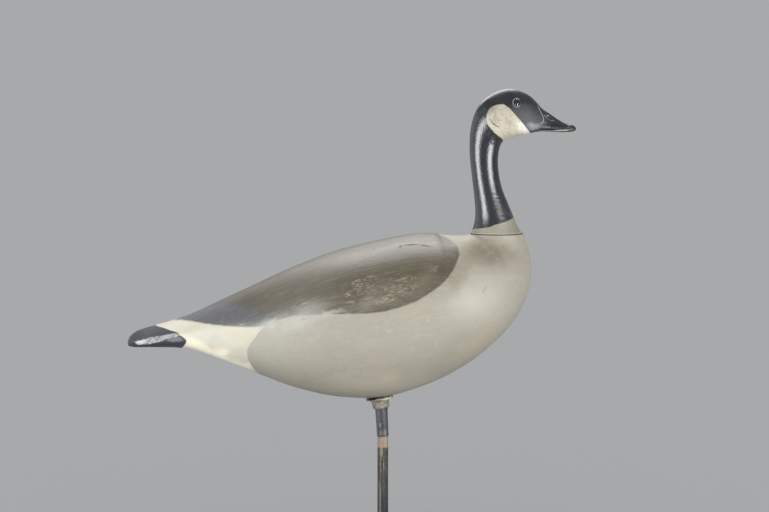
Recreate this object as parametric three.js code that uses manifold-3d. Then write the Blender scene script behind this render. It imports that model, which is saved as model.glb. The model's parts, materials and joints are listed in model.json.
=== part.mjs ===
// A stick-up decoy of a Canada goose: a carved and painted wooden body with a separate head and neck,
// glass eyes, and an iron flange and sleeve under the belly that stand on a stick in a round foot.
// Units are millimetres. +X points to the bill, +Y to the goose's left, +Z up.
// The origin is on the stick's axis, at the middle of the foot's underside.

import * as THREE from "three";
import { mergeVertices } from "three/addons/utils/BufferGeometryUtils.js";
import Module from "manifold-3d";

const wasm = await Module();
wasm.setup();

// The carved goose
const BODY_LENGTH = 686; // tip of the tail to the breast
const BODY_WIDTH = 250;
const HEAD_HEIGHT = 245; // neck seat to crown
const NECK_SEAT_LENGTH = 90; // fore and aft
const NECK_SEAT_WIDTH = 68;
const SEAM_GAP = 0.4; // between the neck and its seat on the body

// Glass eyes, each a flattened ball let into the side of the head, with a raised lid round it
const EYE_WIDTH = 10.5;
const EYE_HEIGHT = 13.5;
const EYE_THICKNESS = 8;
const EYE_STANDS_OUT = 2.2;
const EYE_CLEARANCE = 0.3;
const EYELID_WIDTH = 1.2;
const EYELID_HEIGHT = 1; // above the head, beside the glass

// Cuts in the bill, and the step by which the face stands proud of it
const MOUTH_CUT_WIDTH = 1.2;
const MOUTH_CUT_DEPTH = 1.6;
const NOSTRIL_LENGTH = 14;
const NOSTRIL_HEIGHT = 5;
const NOSTRIL_DEPTH = 2.2;
const BILL_STEP_DEPTH = 0.8;

// Wooden stick with a tenon, and the foot it is let into
const STICK_DIAMETER = 18;
const STICK_SHOWN_LENGTH = 175;
const TENON_LENGTH = 30;
const TENON_CLEARANCE = 0.3;
const FOOT_DIAMETER = 250;
const FOOT_THICKNESS = 24;
const FOOT_EDGE_RADIUS = 6;
const FOOT_FLOOR_THICKNESS = 6; // wood left below the stick
const FOOT_CLEARANCE = 0.3;

// Iron sleeve over the tenon. It leans back from the stick and widens upwards.
const SLEEVE_LEAN = THREE.MathUtils.degToRad(3);
const SLEEVE_SHOWN_LENGTH = 49;
const SLEEVE_IN_HUB = 9;
const SLEEVE_WALL = 1.9;
const SLEEVE_PROUD = 0.4; // beyond the stick, all round
const SLEEVE_FLARE = 0.8; // how much its radius grows to the top
const SLEEVE_CLEARANCE = 0.3;

// Cast iron flange, with a hub that takes the sleeve and a plate that carries the goose
const FLANGE_TILT = THREE.MathUtils.degToRad(9); // its front edge is the higher one
const HUB_LENGTH = 11;
const HUB_WALL = 3.7;
const HUB_FLARE = 1;
const PLATE_THICKNESS = 4;
const PLATE_RIM = 8.3; // beyond the hub, all round
const PLATE_FILLET = 4;
const PLATE_GAP = 0.3;
const BELLY_FLAT_DEPTH = 0.8; // how far the plate's front edge is let into the belly

// How finely the curved forms are faceted
const BODY_STATIONS = 44;
const BODY_SIDES = 34;
const HEAD_STATIONS = 42;
const HEAD_SIDES = 22;
const TURNED_SIDES = 32;
const EYE_SIDES = 18;
const EYE_RINGS = 8;

// A rib is one cross-section of a carved form, seen from the side as a line from its front end to
// its back end. It is widest at waist, a share of the way up that line. The half above the waist
// and the half below are quarter ellipses where crest and keel are 1. With a larger number the
// half is a low arch that meets the waist at an edge, and with a smaller one it is fuller.
const rib = (back, front, spread, { waist = 0.5, crest = 1, keel = 1 } = {}) => ({
  back,
  front,
  spread,
  waist,
  crest,
  keel,
});

// The body's ribs from the tail on, as shares of BODY_LENGTH from the tail's tip and from the
// belly's lowest line. spread is a share of half the body's width.
const BODY_RIBS = [
  rib([0, 0.144], [0.0005, 0.131], 0.1, { crest: 1.6, keel: 0.8 }),
  rib([0.005, 0.155], [0.005, 0.129], 0.216, { waist: 0.47, crest: 1.8, keel: 0.7 }),
  rib([0.016, 0.163], [0.017, 0.128], 0.288, { waist: 0.45, crest: 1.9, keel: 0.65 }),
  rib([0.036, 0.172], [0.036, 0.128], 0.344, { waist: 0.45, crest: 2, keel: 0.65 }),
  rib([0.08, 0.184], [0.08, 0.128], 0.385, { waist: 0.47, crest: 2, keel: 0.65 }),
  rib([0.13, 0.199], [0.13, 0.1265], 0.408, { waist: 0.52, crest: 1.6, keel: 0.7 }),
  rib([0.175, 0.217], [0.175, 0.119], 0.456, { waist: 0.52, crest: 1.2, keel: 0.8 }),
  rib([0.239, 0.247], [0.234, 0.098], 0.56, { keel: 0.9 }),
  rib([0.318, 0.284], [0.318, 0.064], 0.712),
  rib([0.412, 0.327], [0.422, 0.025], 0.864),
  rib([0.511, 0.365], [0.526, 0.0035], 0.968),
  rib([0.61, 0.39], [0.639, 0.0035], 1),
  rib([0.694, 0.4075], [0.748, 0.037], 0.99),
];

// The middle of the neck's seat and of the flange's plate on the body, as shares of BODY_LENGTH
const SEAT_PLACE = [0.9134, 0.409];
const FLANGE_PLACE = 0.6239;

// The breast's ribs fan up to the seat. Their ends are measured from the seat's back end and front
// end, and spread is how far the half width goes from the seat's (0) to the body's (1).
const BREAST_RIBS = [
  rib([-0.096, 0.0015], [-0.142, -0.3265], 0.912),
  rib([-0.07, -0.0025], [-0.076, -0.2755], 0.769),
  rib([-0.049, -0.004], [-0.03, -0.2275], 0.593),
  rib([-0.03, -0.0045], [0, -0.1785], 0.407),
  rib([-0.014, -0.004], [0.017, -0.129], 0.236),
  rib([-0.004, -0.0025], [0.02, -0.0785], 0.099),
  rib([-0.0005, -0.001], [0.013, -0.036], 0.022),
  rib([0, 0], [0, 0], 0),
];

// The ribs of the neck, head and bill above the seat, as shares of HEAD_HEIGHT from the seat's
// middle. Front is the throat's side, back is the nape's, and spread is the half width.
const HEAD_RIBS = [
  rib([-0.175, 0.0125], [0.166, 0.0105], 0.135),
  rib([-0.162, 0.0475], [0.146, 0.0445], 0.1265),
  rib([-0.1505, 0.1045], [0.122, 0.1025], 0.112),
  rib([-0.15, 0.1835], [0.086, 0.1875], 0.098),
  rib([-0.161, 0.2915], [0.042, 0.2935], 0.087),
  rib([-0.175, 0.4085], [0.016, 0.399], 0.081),
  rib([-0.188, 0.5265], [0.007, 0.5045], 0.08),
  rib([-0.19, 0.6345], [0.015, 0.5765], 0.083, { waist: 0.48 }),
  rib([-0.183, 0.7205], [0.027, 0.6135], 0.0905, { waist: 0.46 }),
  rib([-0.16, 0.8155], [0.04, 0.6345], 0.0995, { waist: 0.44, keel: 0.95 }),
  rib([-0.119, 0.8935], [0.0515, 0.6455], 0.108, { waist: 0.43, keel: 0.92 }),
  rib([-0.051, 0.9595], [0.069, 0.6535], 0.114, { waist: 0.42, keel: 0.9 }),
  rib([0.0295, 0.9965], [0.0945, 0.6615], 0.117, { waist: 0.42, keel: 0.88 }),
  rib([0.103, 1.002], [0.128, 0.6675], 0.114, { waist: 0.41, keel: 0.86 }),
  rib([0.174, 0.986], [0.166, 0.6755], 0.106, { waist: 0.4, keel: 0.84 }),
  rib([0.234, 0.9465], [0.208, 0.6835], 0.092, { waist: 0.38, crest: 1.05, keel: 0.8 }),
  rib([0.2785, 0.8945], [0.247, 0.6935], 0.0775, { waist: 0.34, crest: 1.15, keel: 0.78 }),
  rib([0.313, 0.8545], [0.298, 0.7005], 0.0645, { waist: 0.3, crest: 1.3, keel: 0.75 }),
  rib([0.362, 0.8215], [0.357, 0.6985], 0.0555, { waist: 0.28, crest: 1.4, keel: 0.72 }),
  rib([0.419, 0.7835], [0.416, 0.696], 0.0515, { waist: 0.3, crest: 1.3, keel: 0.72 }),
  rib([0.472, 0.7535], [0.471, 0.695], 0.049, { waist: 0.35, crest: 1.15, keel: 0.75 }),
  rib([0.511, 0.7445], [0.51, 0.696], 0.0415, { waist: 0.4, keel: 0.8 }),
  rib([0.533, 0.734], [0.5325, 0.7025], 0.028, { waist: 0.45, crest: 0.9, keel: 0.85 }),
  rib([0.5415, 0.7225], [0.5415, 0.7105], 0.012, { crest: 0.9, keel: 0.9 }),
];

// Places and lines on the head's side view, as shares of HEAD_HEIGHT from the seat's middle
const EYE_PLACE = [0.1285, 0.9065];
const NOSTRIL_PLACE = [0.356, 0.7985];
const NOSTRIL_SLOPE = THREE.MathUtils.degToRad(-30);
const MOUTH_LINE = [
  [0.222, 0.706],
  [0.265, 0.716],
  [0.3, 0.7225],
  [0.361, 0.719],
  [0.43, 0.7205],
  [0.51, 0.7265],
];
const BILL_BASE = [
  [0.28, 0.8815],
  [0.2915, 0.854],
  [0.3055, 0.8265],
  [0.316, 0.8025],
  [0.318, 0.785],
  [0.309, 0.7645],
  [0.292, 0.758],
  [0.268, 0.749],
  [0.268, 0.737],
];

// Sizes that follow from the ones above
const half = (size) => size / 2;
const ofBody = ([x, z]) => [x * BODY_LENGTH, z * BODY_LENGTH];
const ofHead = ([x, z]) => [x * HEAD_HEIGHT, z * HEAD_HEIGHT];
const bodyHalfWidth = half(BODY_WIDTH);
const seat = ofBody(SEAT_PLACE);
const seatHalfWidth = half(NECK_SEAT_WIDTH);
const seatHalfLength = half(NECK_SEAT_LENGTH);
const stickRadius = half(STICK_DIAMETER);
const sleeveBottom = stickRadius + SLEEVE_PROUD;
const sleeveTop = sleeveBottom + SLEEVE_FLARE;
const sleeveBore = sleeveBottom - SLEEVE_WALL;
const hubBore = sleeveTop + SLEEVE_CLEARANCE;
const hubBottom = hubBore + HUB_WALL;
const hubTop = hubBottom + HUB_FLARE;
const plateRadius = hubTop + PLATE_RIM;
const plateFillet = Math.min(PLATE_FILLET, half(PLATE_RIM));
const plateUnderside = HUB_LENGTH + plateFillet;
const flangeHeight = plateUnderside + PLATE_THICKNESS;
const shoulderHeight = FOOT_THICKNESS + STICK_SHOWN_LENGTH;

// A carved form is a smooth run of ribs. formAt(share) is the rib at a share of the way along it.
function carvedForm(ribs) {
  const through = (pick) => new THREE.SplineCurve(ribs.map((each) => new THREE.Vector2(...pick(each))));
  const back = through((each) => each.back);
  const front = through((each) => each.front);
  const girth = through((each) => [each.halfWidth, each.waist]);
  const round = through((each) => [each.crest, each.keel]);
  return (share) => {
    const { x: halfWidth, y: waist } = girth.getPoint(share);
    const { x: crest, y: keel } = round.getPoint(share);
    return { back: back.getPoint(share), front: front.getPoint(share), halfWidth, waist, crest, keel };
  };
}

function bodyForm() {
  const body = BODY_RIBS.map((each) => ({
    ...each,
    back: ofBody(each.back),
    front: ofBody(each.front),
    halfWidth: each.spread * bodyHalfWidth,
  }));
  const fromSeat = (end, place) => {
    const [x, z] = ofBody(place);
    return [seat[0] + end * seatHalfLength + x, seat[1] + z];
  };
  const breast = BREAST_RIBS.map((each) => ({
    ...each,
    back: fromSeat(-1, each.back),
    front: fromSeat(1, each.front),
    halfWidth: seatHalfWidth + each.spread * (bodyHalfWidth - seatHalfWidth),
  }));
  return carvedForm([...body, ...breast]);
}

function headForm() {
  const base = rib([-seatHalfLength, 0], [seatHalfLength, 0]);
  const rest = HEAD_RIBS.map((each) => ({
    ...each,
    back: ofHead(each.back),
    front: ofHead(each.front),
    halfWidth: each.spread * HEAD_HEIGHT,
  }));
  return carvedForm([{ ...base, halfWidth: seatHalfWidth }, ...rest]);
}

// The closed outline of one rib, starting at the left side and going over the back
function section({ back, front, halfWidth, waist, crest, keel }, sides, inset) {
  return Array.from({ length: sides }, (_, k) => {
    const angle = (2 * Math.PI * k) / sides;
    const up = Math.sin(angle);
    const share = up >= 0 ? waist + (1 - waist) * up ** crest : waist * (1 - (-up) ** keel);
    const { x, y } = front.clone().lerp(back, share);
    return new THREE.Vector3(x, Math.max(halfWidth - inset, half(halfWidth)) * Math.cos(angle), y);
  });
}

// A closed surface over a row of rings that have as many points each, with its ends filled in
function loft(rings) {
  const sides = rings[0].length;
  const last = rings.length - 1;
  const middle = (ring) =>
    ring.reduce((sum, point) => sum.add(point), new THREE.Vector3()).divideScalar(sides);
  const points = [...rings.flat(), middle(rings[0]), middle(rings[last])];
  const startMiddle = points.length - 2;
  const endMiddle = points.length - 1;
  const at = (i, k) => i * sides + (k % sides);
  const faces = [];
  for (let k = 0; k < sides; k++) {
    faces.push(startMiddle, at(0, k + 1), at(0, k));
    faces.push(endMiddle, at(last, k), at(last, k + 1));
    for (let i = 0; i < last; i++) {
      faces.push(at(i, k), at(i, k + 1), at(i + 1, k + 1));
      faces.push(at(i, k), at(i + 1, k + 1), at(i + 1, k));
    }
  }
  return new THREE.BufferGeometry().setFromPoints(points).setIndex(faces);
}

// The form as a mesh. With an inset it is narrower by that much on each side.
function carve(formAt, stations, sides, inset = 0) {
  const shares = Array.from({ length: stations }, (_, i) => i / (stations - 1));
  return loft(shares.map((share) => section(formAt(share), sides, inset)));
}

// Half of the form's width at a point of its side view
function halfWidthAt(formAt, x, z, steps = 400) {
  const point = new THREE.Vector2(x, z);
  const besides = ({ back, front }) => back.clone().sub(front).cross(point.clone().sub(front));
  for (let i = 0; i < steps; i++) {
    const here = formAt(i / steps);
    if (besides(here) * besides(formAt((i + 1) / steps)) > 0) continue;
    const { back, front, halfWidth, waist, crest, keel } = here;
    const line = back.clone().sub(front);
    const share = point.sub(front).dot(line) / line.lengthSq();
    const sine =
      share > waist ? ((share - waist) / (1 - waist)) ** (1 / crest) : (1 - share / waist) ** (1 / keel);
    return halfWidth * Math.sqrt(1 - sine ** 2);
  }
  throw new Error("no rib passes through the point");
}

// The belly's height at a distance from the tail's tip
function bellyHeight(formAt, x) {
  let [low, high] = [0, 1];
  for (let i = 0; i < 40; i++) {
    const middle = half(low + high);
    if (formAt(middle).front.x < x) low = middle;
    else high = middle;
  }
  return formAt(low).front.y;
}

// A circle of points in a ring that may be off the axis and tilted, its +X side up
function tiltedCircle({ x = 0, z, radius, tilt = 0 }) {
  return Array.from({ length: TURNED_SIDES }, (_, k) => {
    const angle = (2 * Math.PI * k) / TURNED_SIDES;
    return new THREE.Vector3(radius * Math.cos(angle), radius * Math.sin(angle), 0)
      .applyAxisAngle(new THREE.Vector3(0, 1, 0), -tilt)
      .add(new THREE.Vector3(x, 0, z));
  });
}

// The place of such a circle, some way up a line through the origin that is tilted back
const upTilted = (length, tilt) => ({ x: -length * Math.sin(tilt), z: length * Math.cos(tilt), tilt });

// Lathe work about the Z axis, from a profile of [radius, height] pairs
function turned(profile, sides = TURNED_SIDES) {
  const points = profile.map(([radius, height]) => new THREE.Vector2(radius, height));
  return new THREE.LatheGeometry(points, sides).rotateX(Math.PI / 2);
}

function solidOf(geometry) {
  const bare = geometry.clone();
  bare.deleteAttribute("normal");
  bare.deleteAttribute("uv");
  const merged = mergeVertices(bare, 1e-4);
  return new wasm.Manifold(
    new wasm.Mesh({
      numProp: 3,
      vertProperties: new Float32Array(merged.attributes.position.array),
      triVerts: new Uint32Array(merged.index.array),
    }),
  );
}

function geometryOf(solid) {
  const mesh = solid.getMesh();
  return new THREE.BufferGeometry()
    .setAttribute("position", new THREE.BufferAttribute(mesh.vertProperties, 3))
    .setIndex(new THREE.BufferAttribute(mesh.triVerts, 1));
}

const bodyAt = bodyForm();
const headAt = headForm();

// The middle of the plate's top, in the body's own frame
const plateFront = new THREE.Vector3(plateRadius, 0, 0).applyAxisAngle(
  new THREE.Vector3(0, 1, 0),
  -FLANGE_TILT,
);
const plateX = FLANGE_PLACE * BODY_LENGTH;
const plateZ = bellyHeight(bodyAt, plateX + plateFront.x) + BELLY_FLAT_DEPTH - plateFront.z;
const plateOnBody = new THREE.Vector3(plateX, 0, plateZ);

// The body, with a flat pared on its belly for the flange's plate
function bodyGeometry() {
  const radius = plateRadius + PLATE_GAP;
  const flat = new THREE.CylinderGeometry(radius, radius, plateRadius, TURNED_SIDES)
    .rotateX(Math.PI / 2)
    .translate(0, 0, PLATE_GAP - half(plateRadius))
    .rotateY(-FLANGE_TILT)
    .translate(...plateOnBody);
  return geometryOf(solidOf(carve(bodyAt, BODY_STATIONS, BODY_SIDES)).subtract(solidOf(flat)));
}

// Where an eye sits: a point on the head's surface, and the way the surface faces there
function eyeSeat(side) {
  const [x, z] = ofHead(EYE_PLACE);
  const step = half(half(EYE_WIDTH));
  const across = (dx, dz) => halfWidthAt(headAt, x + dx, z + dz);
  const rise = (dx, dz) => (across(-dx, -dz) - across(dx, dz)) / (2 * step);
  return {
    point: new THREE.Vector3(x, side * across(0, 0), z),
    facing: new THREE.Vector3(rise(step, 0), side, rise(0, step)).normalize(),
  };
}

// Turns a shape that was made looking up into the way an eye faces, and moves it there
function atEye(geometry, { point, facing }, out) {
  const turn = new THREE.Quaternion().setFromUnitVectors(new THREE.Vector3(0, 0, 1), facing);
  const place = point.clone().addScaledVector(facing, out);
  return geometry.applyQuaternion(turn).translate(...place);
}

function eyeball(side, clearance = 0) {
  const [width, height, thickness] = [EYE_WIDTH, EYE_HEIGHT, EYE_THICKNESS].map(
    (size) => half(size) + clearance,
  );
  const ball = new THREE.SphereGeometry(1, EYE_SIDES, EYE_RINGS)
    .rotateX(Math.PI / 2)
    .scale(width, height, thickness);
  return atEye(ball, eyeSeat(side), EYE_STANDS_OUT - half(EYE_THICKNESS));
}

// A low mound round the eye, rooted in the head. The eye's socket is cut out of it afterwards.
function eyelid(side) {
  const inside = half(EYE_HEIGHT) + EYE_CLEARANCE;
  const outside = inside + EYELID_WIDTH;
  const profile = [
    [0, -EYE_THICKNESS],
    [outside, -EYE_THICKNESS],
    [outside, 0],
    [half(outside + inside), EYELID_HEIGHT],
    [0, EYELID_HEIGHT],
  ];
  const narrowing = (outside - half(EYE_HEIGHT - EYE_WIDTH)) / outside;
  return atEye(turned(profile, EYE_SIDES).scale(narrowing, 1, 1), eyeSeat(side), 0);
}

// A tool with an outline drawn on the side view, that goes right through from side to side
function throughTool(outline) {
  const width = NECK_SEAT_WIDTH;
  return new THREE.ExtrudeGeometry(new THREE.Shape(outline), { depth: width, bevelEnabled: false })
    .rotateX(Math.PI / 2)
    .translate(0, half(width), 0);
}

function onSideView(places, pieces) {
  return new THREE.SplineCurve(places.map((place) => new THREE.Vector2(...ofHead(place)))).getPoints(pieces);
}

function mouthTool() {
  const line = onSideView(MOUTH_LINE, 8);
  const edge = (side) => line.map(({ x, y }) => new THREE.Vector2(x, y + side * half(MOUTH_CUT_WIDTH)));
  return throughTool([...edge(-1), ...edge(1).reverse()]);
}

// All of the bill in front of its base
function billTool() {
  const base = onSideView(BILL_BASE, 12);
  const [top, bottom] = [base[0], base[base.length - 1]];
  const [front, high] = [top.x + HEAD_HEIGHT, top.y + half(HEAD_HEIGHT)];
  const corners = [[front, bottom.y], [front, high], [top.x, high]];
  return throughTool([...base, ...corners.map((corner) => new THREE.Vector2(...corner))]);
}

function nostrilTool() {
  const [x, z] = ofHead(NOSTRIL_PLACE);
  return new THREE.SphereGeometry(1, 12, 8)
    .scale(half(NOSTRIL_LENGTH), half(NECK_SEAT_WIDTH), half(NOSTRIL_HEIGHT))
    .rotateY(-NOSTRIL_SLOPE)
    .translate(x, 0, z);
}

// The head. Each tool cuts in from both sides, to a core that is narrower by the cut's depth.
function headGeometry() {
  const core = (inset) => solidOf(carve(headAt, HEAD_STATIONS, HEAD_SIDES, inset));
  const cut = (head, [tool, depth]) => head.subtract(solidOf(tool).subtract(core(depth)));
  let head = [
    [billTool(), BILL_STEP_DEPTH],
    [mouthTool(), MOUTH_CUT_DEPTH],
    [nostrilTool(), NOSTRIL_DEPTH],
  ].reduce(cut, core(0));
  for (const side of [-1, 1]) {
    head = head.add(solidOf(eyelid(side))).subtract(solidOf(eyeball(side, EYE_CLEARANCE)));
  }
  return geometryOf(head);
}

// The stick, from the bottom of the foot's hole to the tenon that leans up into the sleeve
function stickGeometry() {
  const tenon = sleeveBore - TENON_CLEARANCE;
  const circles = [
    { z: FOOT_FLOOR_THICKNESS + FOOT_CLEARANCE - shoulderHeight, radius: stickRadius },
    { ...upTilted(0, SLEEVE_LEAN), radius: stickRadius },
    { ...upTilted(0, SLEEVE_LEAN), radius: tenon },
    { ...upTilted(TENON_LENGTH, SLEEVE_LEAN), radius: tenon },
  ];
  return loft(circles.map(tiltedCircle)).translate(0, 0, shoulderHeight);
}

function footGeometry() {
  const edge = half(FOOT_DIAMETER) - FOOT_EDGE_RADIUS;
  const top = FOOT_THICKNESS - FOOT_EDGE_RADIUS;
  const hole = stickRadius + FOOT_CLEARANCE;
  const roundEdge = [0, 1, 2, 3, 4].map((step) => {
    const angle = (step * Math.PI) / 8;
    return [edge + FOOT_EDGE_RADIUS * Math.cos(angle), top + FOOT_EDGE_RADIUS * Math.sin(angle)];
  });
  return turned([
    [0, 0],
    [half(FOOT_DIAMETER), 0],
    ...roundEdge,
    [hole, FOOT_THICKNESS],
    [hole, FOOT_FLOOR_THICKNESS],
    [0, FOOT_FLOOR_THICKNESS],
  ]);
}

function sleeveGeometry() {
  const top = SLEEVE_SHOWN_LENGTH + SLEEVE_IN_HUB;
  return turned([
    [sleeveBore, 0],
    [sleeveBottom, 0],
    [sleeveTop, SLEEVE_SHOWN_LENGTH],
    [sleeveTop, top],
    [sleeveBore, top],
    [sleeveBore, 0],
  ]);
}

// The flange, upright, from the underside of its hub. The bore for the sleeve leans in it.
const boreLean = SLEEVE_LEAN - FLANGE_TILT;

function flangeGeometry() {
  const halfway = plateFillet * Math.SQRT1_2;
  const circles = [
    { ...upTilted(SLEEVE_IN_HUB + SLEEVE_CLEARANCE, boreLean), radius: hubBore },
    { z: 0, radius: hubBore },
    { z: 0, radius: hubBottom },
    { z: HUB_LENGTH, radius: hubTop },
    { z: HUB_LENGTH + halfway, radius: hubTop + plateFillet - halfway },
    { z: plateUnderside, radius: hubTop + plateFillet },
    { z: plateUnderside, radius: plateRadius },
    { z: flangeHeight, radius: plateRadius },
  ];
  return loft(circles.map(tiltedCircle));
}

const paintedWood = (color) => new THREE.MeshStandardMaterial({ color, roughness: 0.45, metalness: 0 });
const iron = (color) => new THREE.MeshStandardMaterial({ color, roughness: 0.6, metalness: 0.5 });
const glass = new THREE.MeshStandardMaterial({ color: 0x120d0a, roughness: 0.05, metalness: 0 });

function piece(name, geometry, material) {
  const mesh = new THREE.Mesh(geometry, material);
  mesh.name = name;
  return mesh;
}

// The foot and the stick stand upright
const decoy = new THREE.Group();
decoy.add(piece("foot", footGeometry(), paintedWood(0x2e2e2e)));
decoy.add(piece("stick", stickGeometry(), paintedWood(0x3a3b38)));

// The sleeve leans back from the stick's shoulder, and the flange sits on its end
const socket = new THREE.Group();
socket.position.set(0, 0, shoulderHeight);
socket.rotation.y = -SLEEVE_LEAN;
const sleeve = piece("socket_sleeve", sleeveGeometry(), iron(0x55585c));
sleeve.position.z = SLEEVE_CLEARANCE;
const flange = piece("belly_flange", flangeGeometry(), iron(0x8c8578));
flange.position.z = SLEEVE_CLEARANCE + SLEEVE_SHOWN_LENGTH;
flange.rotation.y = boreLean;
socket.add(sleeve, flange);
decoy.add(socket);

// The goose stands on the plate, and its head on the body's seat
decoy.updateMatrixWorld();
const goose = new THREE.Group();
goose.position.copy(flange.localToWorld(new THREE.Vector3(0, 0, flangeHeight))).sub(plateOnBody);
goose.add(piece("body", bodyGeometry(), paintedWood(0xaaa79a)));
const head = new THREE.Group();
head.position.set(seat[0], 0, seat[1] + SEAM_GAP);
head.add(piece("head_and_neck", headGeometry(), paintedWood(0x3c3d40)));
head.add(piece("right_eye", eyeball(-1), glass));
head.add(piece("left_eye", eyeball(1), glass));
goose.add(head);
decoy.add(goose);

export default decoy;
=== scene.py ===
# %% [markdown]
# A stick-up decoy of a Canada goose. The real one is carved from wood in two pieces, a body and a
# head with its neck, painted by hand, given glass eyes, and set up on an iron flange and a stick.
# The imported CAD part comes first, as a fixed frame: it says where each piece goes and how large it
# is. Each piece is then modelled again around its CAD node, with the finer carving and the paint.

import json
import math

import bmesh
import bpy
import numpy as np
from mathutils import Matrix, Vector, noise

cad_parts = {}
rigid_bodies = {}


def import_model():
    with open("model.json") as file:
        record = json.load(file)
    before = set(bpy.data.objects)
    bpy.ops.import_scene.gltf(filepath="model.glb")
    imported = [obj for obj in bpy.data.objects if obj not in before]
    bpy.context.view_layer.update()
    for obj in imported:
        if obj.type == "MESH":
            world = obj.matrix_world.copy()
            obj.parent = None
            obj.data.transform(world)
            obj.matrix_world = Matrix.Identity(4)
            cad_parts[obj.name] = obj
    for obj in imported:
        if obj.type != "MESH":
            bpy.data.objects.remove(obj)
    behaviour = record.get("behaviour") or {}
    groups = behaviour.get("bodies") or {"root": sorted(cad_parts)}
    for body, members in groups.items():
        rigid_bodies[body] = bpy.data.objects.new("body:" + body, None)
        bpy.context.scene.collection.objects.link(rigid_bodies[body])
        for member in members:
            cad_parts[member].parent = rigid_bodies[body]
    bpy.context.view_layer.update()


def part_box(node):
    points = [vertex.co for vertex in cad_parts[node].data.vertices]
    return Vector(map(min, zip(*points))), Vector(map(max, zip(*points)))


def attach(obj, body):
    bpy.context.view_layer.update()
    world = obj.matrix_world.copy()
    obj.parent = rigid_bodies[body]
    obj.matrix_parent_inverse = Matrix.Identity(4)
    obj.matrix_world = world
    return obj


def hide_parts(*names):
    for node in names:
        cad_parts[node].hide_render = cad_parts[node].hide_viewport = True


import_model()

# %% [markdown]
# The camera stands where the photographer stood, 4.5 m from the goose's right side and a little
# above it. A long lens keeps the bill and the tail at nearly the same scale. The place is kept in
# millimetres too, because the paint is laid out later on templates seen from there.

# %% Set up the camera
MM = 0.001
CAMERA_DISTANCE = 4500
CAMERA_RISE = math.radians(5.7)
AIM = np.array([2.9, 0.0, 507.94])
VIEW_WIDTH = 1304.5
SENSOR_WIDTH = 36

eye_place = AIM + CAMERA_DISTANCE * np.array([0, -math.cos(CAMERA_RISE), math.sin(CAMERA_RISE)])
camera_data = bpy.data.cameras.new("camera")
camera_data.sensor_width = SENSOR_WIDTH
camera_data.lens = SENSOR_WIDTH * CAMERA_DISTANCE / VIEW_WIDTH
camera_data.clip_end = 100
camera = bpy.data.objects.new("camera", camera_data)
camera.location = eye_place * MM
camera.rotation_euler = (math.radians(90) - CAMERA_RISE, 0, 0)
bpy.context.collection.objects.link(camera)
bpy.context.scene.camera = camera
bpy.context.scene.view_settings.view_transform = "Standard"
print("lens, mm:", round(camera_data.lens, 1))

# %% [markdown]
# Colours are written as sRGB hex values, the way a paint card or a picture gives them, but the
# renderer counts light, so one function turns them into linear values. Materials are small graphs
# of nodes. One function adds a node, sets its inputs, and links those that come from another node.

# %% Helpers for colours and nodes
def colour(code):
    """A hex colour as linear red, green, blue and alpha."""
    shares = [int(code[i : i + 2], 16) / 255 for i in (1, 3, 5)]
    return [s / 12.92 if s <= 0.04045 else ((s + 0.055) / 1.055) ** 2.4 for s in shares] + [1.0]


def add(tree, kind, inputs=(), **settings):
    """Adds a node with its settings. Each input is a value, or the output that it is linked to."""
    node = tree.nodes.new(kind)
    for name, value in settings.items():
        setattr(node, name, value)
    for name, value in dict(inputs).items():
        if isinstance(value, bpy.types.NodeSocket):
            tree.links.new(value, node.inputs[name])
        else:
            node.inputs[name].default_value = value
    return node


def finish_of(name, code, roughness, **plain):
    """A new material with one shader, and its tree and shader for the nodes that follow."""
    material = bpy.data.materials.new(name)
    material.use_nodes = True
    shader = material.node_tree.nodes["Principled BSDF"]
    shader.inputs["Base Color"].default_value = colour(code)
    shader.inputs["Roughness"].default_value = roughness
    for socket, value in plain.items():
        shader.inputs[socket.replace("_", " ")].default_value = value
    return material, material.node_tree, shader


print("mid grey in linear light:", [round(c, 3) for c in colour("#808080")])

# %% [markdown]
# The studio is a plain grey one. A wide pale floor runs out to its horizon under an even grey
# light, and a lamp that shines on the floor alone brings it up to the same grey as the backdrop.

# %% Studio floor and backdrop
BACKDROP = colour("#a8a9ab")
FLOOR_ALBEDO = 0.8
FLOOR_RADIUS = 40

world = bpy.data.worlds.new("studio_grey")
world.use_nodes = True
world.node_tree.nodes["Background"].inputs["Color"].default_value = BACKDROP
bpy.context.scene.world = world

bpy.ops.object.select_all(action="DESELECT")
bpy.ops.mesh.primitive_circle_add(vertices=96, radius=FLOOR_RADIUS, fill_type="NGON")
floor = bpy.context.object
floor.name = "studio_floor"
floor_paint, tree, shader = finish_of("matt_floor_paint", "#e6e6e6", 0.9, Specular_IOR_Level=0.0)
place = add(tree, "ShaderNodeTexCoord").outputs["Object"]
grit = add(tree, "ShaderNodeTexNoise", {"Vector": place, "Scale": 6.0, "Detail": 3.0}).outputs["Fac"]
darker, paler = [[FLOOR_ALBEDO * share] * 3 + [1.0] for share in (0.995, 1.005)]
grey = add(tree, "ShaderNodeMix", {0: grit, 6: darker, 7: paler}, data_type="RGBA").outputs[2]
tree.links.new(grey, shader.inputs["Base Color"])
floor.data.materials.append(floor_paint)
print("floor radius, m:", round(floor.dimensions.x / 2, 1))

# %% [markdown]
# Two tall softboxes light the goose from both sides of the camera: they draw the two long
# highlights down the glossy neck. One high above and a wide one behind lay the sheen along the
# back. A card keeps the one above off the head, which has a lamp of its own behind it for the
# thin line of light along the crown. They all leave the floor alone, so the backdrop stays even.

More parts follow.
